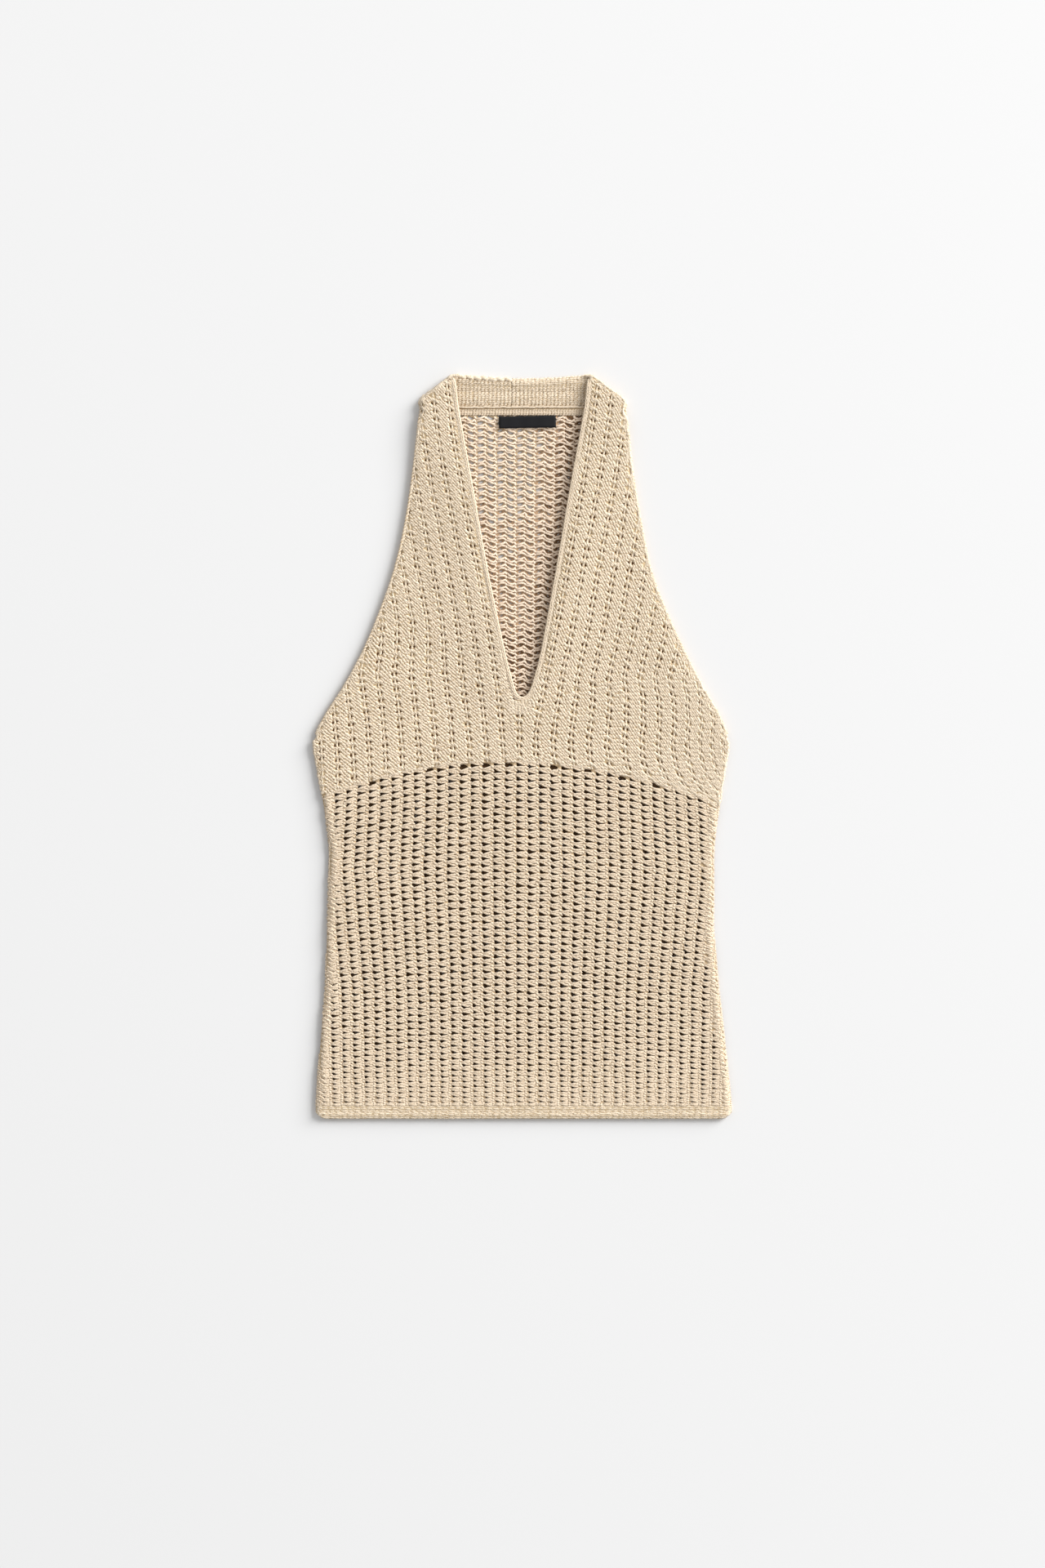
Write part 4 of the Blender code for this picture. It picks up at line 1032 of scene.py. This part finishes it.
def tubeMesh(name, surface, rows, sides, steps, material):
    # a plain closed tube under the edging's stitches
    around = np.arange(sides) / sides * 2.0
    along = np.linspace(0.0, rows, steps)
    c, r = np.meshgrid(around, along)
    places, _ = surface(c.ravel(), r.ravel())
    faces = []
    for low in range(0, (steps - 1) * sides, sides):
        for i in range(sides):
            after = (i + 1) % sides
            faces.append((low + i, low + after, low + sides + after, low + sides + i))
    faces += [tuple(range(sides)), tuple(range((steps - 1) * sides, steps * sides))]
    return tidyMesh(meshObject(name, places, faces, materials=[material]))


def edging(name, tube, stitch, settings):
    # a tube of cloth with its stitches, one to a row
    surface, rows = tube
    base = tubeMesh(name + " base", surface, rows, 8, settings["steps"], shadedGroundYarn)
    ground = makeGround(name + " ground", surface, (-0.5, 1.5), (-1.0, float(math.ceil(rows)) + 1.0), 0.25)
    count = int(rows)
    worked = workStitches(name + " work", ground, (stitch,), {
        **settings, "firstCell": (0.0, 0.5 * (rows - count) + 0.5), "columns": 1, "rows": count}, edgeYarn)
    bpy.data.objects.remove(ground)
    return joinAll(name, [base, worked])


# the neckline's edging: smooth along the opening, with small links on its outer half

neckEdge = {"pitch": 2.9 * mm, "yarnMm": 1.45, "steps": 200, "keepFrom": -1.0, "unevenness": 0.04, "seed": 51,
            "sides": 5, "halfTip": 1.4 * mm, "foldDrop": 3.2 * mm}
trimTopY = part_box("neckline_trim")[1].y - 0.6 * mm
foldRise = 8.0 * mm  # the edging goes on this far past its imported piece, over the fold
slantRise = trimLevels[-1] - trimLevels[-30]
slant = {side: (neckX(side, trimLevels[-1]) - neckX(side, trimLevels[-30])) / slantRise for side in (-1, 1)}
ys = np.linspace(trimTopY, tipY + 0.5 * mm, 150)
tipX = (neckX(-1, ys[-1]) + neckX(1, ys[-1])) / 2
opening = [(neckX(-1, trimTopY) + slant[-1] * foldRise, trimTopY + foldRise)]
opening += [(neckX(-1, y), y) for y in ys]
opening += [(tipX + side * neckEdge["halfTip"], tipY + 0.05 * mm) for side in (-1, 1)]
opening += [(neckX(1, y), y) for y in ys[::-1]]
opening += [(neckX(1, trimTopY) + slant[1] * foldRise, trimTopY + foldRise)]
line, outward, length = followPath(opening, 2.0 * mm)
outward = -outward if outward[len(outward) // 2][1] > 0 else outward
line = line + outward * neckTrimWidth / 2
onPiece = np.minimum(line[:, 1], trimTopY)
sideways = (line[:, 1] - onPiece) * np.where(line[:, 0] < 0, slant[-1], slant[1])
drop = neckEdge["foldDrop"] * ease(0.0, 1.1 * foldRise, line[:, 1] - trimTopY)
highs = heights("neckline_trim", line[:, 0] - sideways, onPiece) - drop
lows = heights("neckline_trim", line[:, 0] - sideways, onPiece, fromBelow=True) - drop
neckLink = makeStitch("neck link", (
    (1.25, [(0.30, -0.66, -0.35), (0.27, 0.0, 0.1), (0.30, 0.66, -0.35)]),
    (1.10, [(0.08, -0.66, -0.35), (0.06, 0.0, 0.0), (0.08, 0.66, -0.35)]),
    (1.05, [(0.58, -0.60, -0.3), (0.52, 0.0, 0.2), (0.44, 0.60, -0.3)]),
    (1.05, [(0.86, -0.56, -0.4), (0.78, 0.0, 0.2), (0.68, 0.56, -0.4)])))
neckTube = tubeSurface(line, outward, lows, highs - 0.5 * mm, neckTrimWidth - 0.1 * mm,
                       neckEdge["pitch"], length)
neckEdging = edging("neckline_edging", neckTube, neckLink, neckEdge)

# the armholes' edging: slanting wraps down the front, and the same up the back

armEdge = {"pitch": 3.3 * mm, "width": 2.6 * mm, "yarnMm": 1.5, "steps": 110, "keepFrom": -1.0,
           "unevenness": 0.05, "seed": 61, "sides": 5}
armWrap = makeStitch("armhole wrap", (
    (1.0, [(-0.10, -0.45, -0.2), (0.25, -0.15, 0.25), (0.60, 0.15, 0.3), (1.05, 0.45, -0.2)]),
    (0.85, [(0.15, -0.30, 0.0), (0.45, 0.20, 0.35), (0.85, 0.60, 0.0)])))
armEdgings = []
for side, word in ((-1, "left"), (1, "right")):
    node = "armhole_trim_" + word
    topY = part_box(node)[1].y - 0.7 * mm
    # it closes up to the corner of the neck band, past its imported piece
    ys = np.linspace(bandLowY + 2.5 * mm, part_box(node)[0].y + 1.6 * mm, 120)
    line, outward, length = followPath(np.stack([outlineX(side, np.minimum(ys, topY)), ys], 1), 2.5 * mm)
    outward = outward * np.sign(outward[:, :1] * side)
    line = line - outward * armEdge["width"] / 2
    onPiece = np.minimum(line[:, 1], topY)
    highs = heights(node, line[:, 0], onPiece)
    lows = heights(node, line[:, 0], onPiece, fromBelow=True)
    runs = []
    for run, low, high, steps in ((" front", highs - 2.5 * mm, highs - 0.3 * mm, armEdge["steps"]),
                                  (" back", lows + 0.1 * mm, lows + 2.2 * mm, 60)):
        tube = tubeSurface(line, outward, low, high, armEdge["width"] - 0.4 * mm, armEdge["pitch"], length)
        runs.append(edging(node + run, tube, armWrap, {**armEdge, "steps": steps}))
    armEdgings.append(joinAll("armhole_edging_" + word, runs))
for spare in (neckLink, armWrap):
    bpy.data.objects.remove(spare)
keep(neckEdging, "trim_yarn", "neckline_trim")
keep(armEdgings[0], "trim_yarn", "armhole_trim_left")
keep(armEdgings[1], "trim_yarn", "armhole_trim_right")

# strips: the hems, the neck bands and the seam below them are each a closed strip with rows of stitches

stripRim = [(0.0, 0.0), (0.0, 1.0), (1.0, 1.0), (1.0, 0.0)]
stripShapes = {"plain": {"rim": stripRim, "inner": [], "faces": [([3, 2, 1, 0], 0)], "under": [[3, 2, 1, 0]]}}


def plainCells(columns, rows):
    return [(float(c), float(r), "plain", 1.0, 0.0) for c in range(columns) for r in range(rows)]


def stripSurface(node, columns, rows, sink):
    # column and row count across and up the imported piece, whose ends and edges the strip keeps
    low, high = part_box(node)
    xs = np.linspace(low.x + 0.3 * mm, high.x - 0.3 * mm, 80)
    spans = [crossings([node], 0, x) for x in xs]
    lowYs, highYs = np.array([s.min() for s in spans]), np.array([s.max() for s in spans])

    def surface(column, row):
        share = np.clip(row / rows, 0.0, 1.0)
        x = low.x + (high.x - low.x) * np.clip(column / columns, 0.0, 1.0)
        y = np.interp(x, xs, lowYs) * (1 - share) + np.interp(x, xs, highYs) * share
        inward = 0.35 * mm
        castX = np.clip(x, low.x + inward, high.x - inward)
        castY = np.clip(y, np.interp(x, xs, lowYs) + inward, np.interp(x, xs, highYs) - inward)
        z = np.maximum(heights(node, castX, castY) - sink, low.z + 0.4 * mm)
        fromEnd = np.minimum(column, columns - column) * (high.x - low.x) / columns
        fromEdge = np.minimum(row, rows - row) * (high.y - low.y) / rows
        return np.stack([x, y, z], 1), np.minimum(fromEnd, fromEdge)
    return surface


def workStrip(name, node, settings, layers, material):
    # the closed strip and its stitches; a layer is a stitch, its first row, its count of rows and its changes
    columns, rows = settings["columns"], settings["rows"]
    surface = stripSurface(node, columns, rows, settings["sink"])
    base = workFabric(name, surface, lambda x, y: heights(node, x, y, fromBelow=True) + 0.02 * mm,
                      plainCells(columns, rows), stripShapes, [shadedGroundYarn, shadedGroundYarn])
    ground = makeGround(name + " ground", surface, (-1.0, columns + 1.0), (-1.0, rows + 1.0))
    worked = []
    for stitch, first, count, changes in layers:
        worked.append(workStitches(f"{name}_stitches_{first}", ground, (stitch,), {
            **settings, **changes, "firstCell": (0.0, first + 0.5), "rows": count}, material))
    bpy.data.objects.remove(ground)
    return base, joinAll(name + "_stitches", worked)


def grain(across, along, lean, half=0.42, height=0.15):
    # short strands side by side, a few to a cell
    strands = []
    reach, rise = half / across, lean * 0.3 / along
    for i in range(across):
        for j in range(along):
            u = (i + 0.5) / across + 0.12 * (j % 2) / across
            v = (j + 0.5) / along - 0.5
            ends = [(u + s * reach, v - s * rise, height - 0.45) for s in (-1, 1)]
            strands.append(((0.95, 1.1, 0.95), [ends[0], (u, v, height), ends[1]]))
    return strands


hem = {"columns": 66, "rows": 4, "yarnMm": 1.9, "keepFrom": -1.0 * mm, "unevenness": 0.06, "seed": 71,
       "sides": 4}
hemStitch = makeStitch("hem stitch", grain(1, 2, 0.5, 0.6, -0.35))
for node, changes, below in (("hem_front", {"sink": 0.45 * mm, "lowest": 3.0 * mm}, "hem_back_band"),
                             ("hem_back", {"sink": 0.9 * mm}, "floor")):
    base, worked = workStrip(node + "_band", node, {**hem, **changes}, [(hemStitch, 0, 4, {})], sandYarn)
    keep(base, "mesh_yarn", node)
    keep(worked, "mesh_yarn")

# the neck band: a rolled chain along the top of its left half, a smooth edge on the right one
band = {"columns": 12, "rows": 8, "sink": 0.6 * mm, "yarnMm": 1.8, "keepFrom": -1.0 * mm, "unevenness": 0.05,
        "seed": 81, "sides": 4}
bandStitch = makeStitch("band stitch", grain(2, 2, -1.0))
smoothStitch = makeStitch("smooth stitch", grain(2, 2, -0.3, 0.5, -0.2))
rolledChain = makeStitch("rolled chain", (
    ((1.5, 1.9, 1.9, 1.5), [(-0.08, 0.22, -0.7), (0.30, 0.18, 0.1), (0.68, 0.02, 0.1), (1.06, -0.14, -0.7)]),))
bandPieces = {
    "neck_band_left": workStrip("neck_band_left_wall", "neck_band_left", band, [
        (bandStitch, 0, 7, {}), (rolledChain, 7, 1, {"yarnMm": 2.3, "sides": 6})], sandYarn),
    "neck_band_right": workStrip(
        "neck_band_right_wall", "neck_band_right", {**band, "columns": 15, "seed": 82}, [
            (bandStitch, 0, 6, {}), (smoothStitch, 6, 2, {"yarnMm": 2.3})], sandYarn)}
# a pale cord sews the band to the narrow strip above the back
seam = {"columns": 36, "rows": 3, "sink": 0.7 * mm, "yarnMm": 1.7, "keepFrom": -1.0 * mm, "unevenness": 0.04,
        "seed": 91, "sides": 5}
cordStitch = makeStitch("cord stitch", ((1.0, [(-0.06, 0.22, 0.45), (0.5, 0.27, 0.6), (1.06, 0.22, 0.45)]),))
seamPieces = workStrip("back_neck_seam_band", "back_neck_seam", seam, [
    (bandStitch, 0, 2, {"sides": 4}), (cordStitch, 2, 1, {"yarnMm": 1.9, "unevenness": 0.05})], edgeYarn)
keep(seamPieces[0], "trim_yarn", "back_neck_seam")
keep(seamPieces[1], "trim_yarn")
for node, (base, worked) in bandPieces.items():
    keep(base, "yoke_yarn", node)
    keep(worked, "yoke_yarn")
    low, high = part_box(node)
for spare in (hemStitch, bandStitch, smoothStitch, rolledChain, cordStitch):
    bpy.data.objects.remove(spare)

# the label: blank black tape, sewn down at both ends

label = {"size": (51.8 * mm, 10.8 * mm), "turn": math.radians(1.0), "thickness": 0.7 * mm,
         "columns": 26, "rows": 6, "lift": 0.25 * mm, "sewnDown": 0.25 * mm,
         "waves": ((0.15 * mm, 9.0, 0.0), (0.1 * mm, 23.0, 1.0))}
low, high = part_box("label")
labelMiddle = ((low.x + high.x) / 2, (low.y + high.y) / 2)
labelUnder = low.z


def labelSurface(column, row):
    u = (np.clip(column / label["columns"], 0, 1) - 0.5) * label["size"][0]
    v = (np.clip(row / label["rows"], 0, 1) - 0.5) * label["size"][1]
    x = labelMiddle[0] + u * math.cos(label["turn"]) - v * math.sin(label["turn"])
    y = labelMiddle[1] + u * math.sin(label["turn"]) + v * math.cos(label["turn"])
    along = u / label["size"][0]
    bow = sum(height * np.sin(along * turns + start) for height, turns, start in label["waves"])
    ends = label["sewnDown"] * ease(0.44, 0.49, np.abs(along))
    z = labelUnder + label["thickness"] + label["lift"] + bow - ends
    return np.stack([x, y, z], 1), np.ones(len(x))


labelTape = workFabric("blank_label", labelSurface, lambda x, y: np.full(len(x), labelUnder),
                       plainCells(label["columns"], label["rows"]), stripShapes, [blackTape])
keep(labelTape, "label_weave", "label")

# floor, light and camera

stage = {"floor": "#e0e0e0", "floorSize": 8.0, "sky": "#f8f8f8", "skyStrength": 0.62,
         "cameraHeight": 3.36, "lens": 85.0, "aimY": -34 * mm}
lamp = {"azimuth": 34.0, "elevation": 27.0, "distance": 17.0, "size": 10.2, "power": 4450.0}
# matt white paper: an even, bright ground with soft shadows and no shine
floorMaterial, _, paper = newMaterial("matt white paper", 0.95)
paper.inputs["Base Color"].default_value = toLinear(stage["floor"])
half = stage["floorSize"] / 2
floor = meshObject("floor", [(-half, -half, 0), (half, -half, 0), (half, half, 0), (-half, half, 0)],
                   [(0, 1, 2, 3)], materials=[floorMaterial])

world = bpy.data.worlds.new("studio")
bpy.context.scene.world = world
world.use_nodes = True
backdrop = world.node_tree.nodes.get("Background") or addNode(world.node_tree, "ShaderNodeBackground")
backdrop.inputs["Color"].default_value = toLinear(stage["sky"])
backdrop.inputs["Strength"].default_value = stage["skyStrength"]

light = bpy.data.lights.new("key", "AREA")
light.shape = "SQUARE"
light.size = lamp["size"]
light.energy = lamp["power"]
holder = bpy.data.objects.new("key", light)
a, e = math.radians(lamp["azimuth"]), math.radians(lamp["elevation"])
towards = np.array([math.cos(a) * math.cos(e), math.sin(a) * math.cos(e), math.sin(e)])
holder.location = towards * lamp["distance"]
holder.rotation_euler = (math.pi / 2 - e, 0.0, a + math.pi / 2)
bpy.context.scene.collection.objects.link(holder)

cameraData = bpy.data.cameras.new("camera")
cameraData.lens = stage["lens"]
cameraData.sensor_width = 36.0
camera = bpy.data.objects.new("camera", cameraData)
camera.location = (0.0, stage["aimY"], stage["cameraHeight"])
bpy.context.scene.collection.objects.link(camera)
bpy.context.scene.camera = camera
bpy.context.scene.view_settings.view_transform = "Standard"
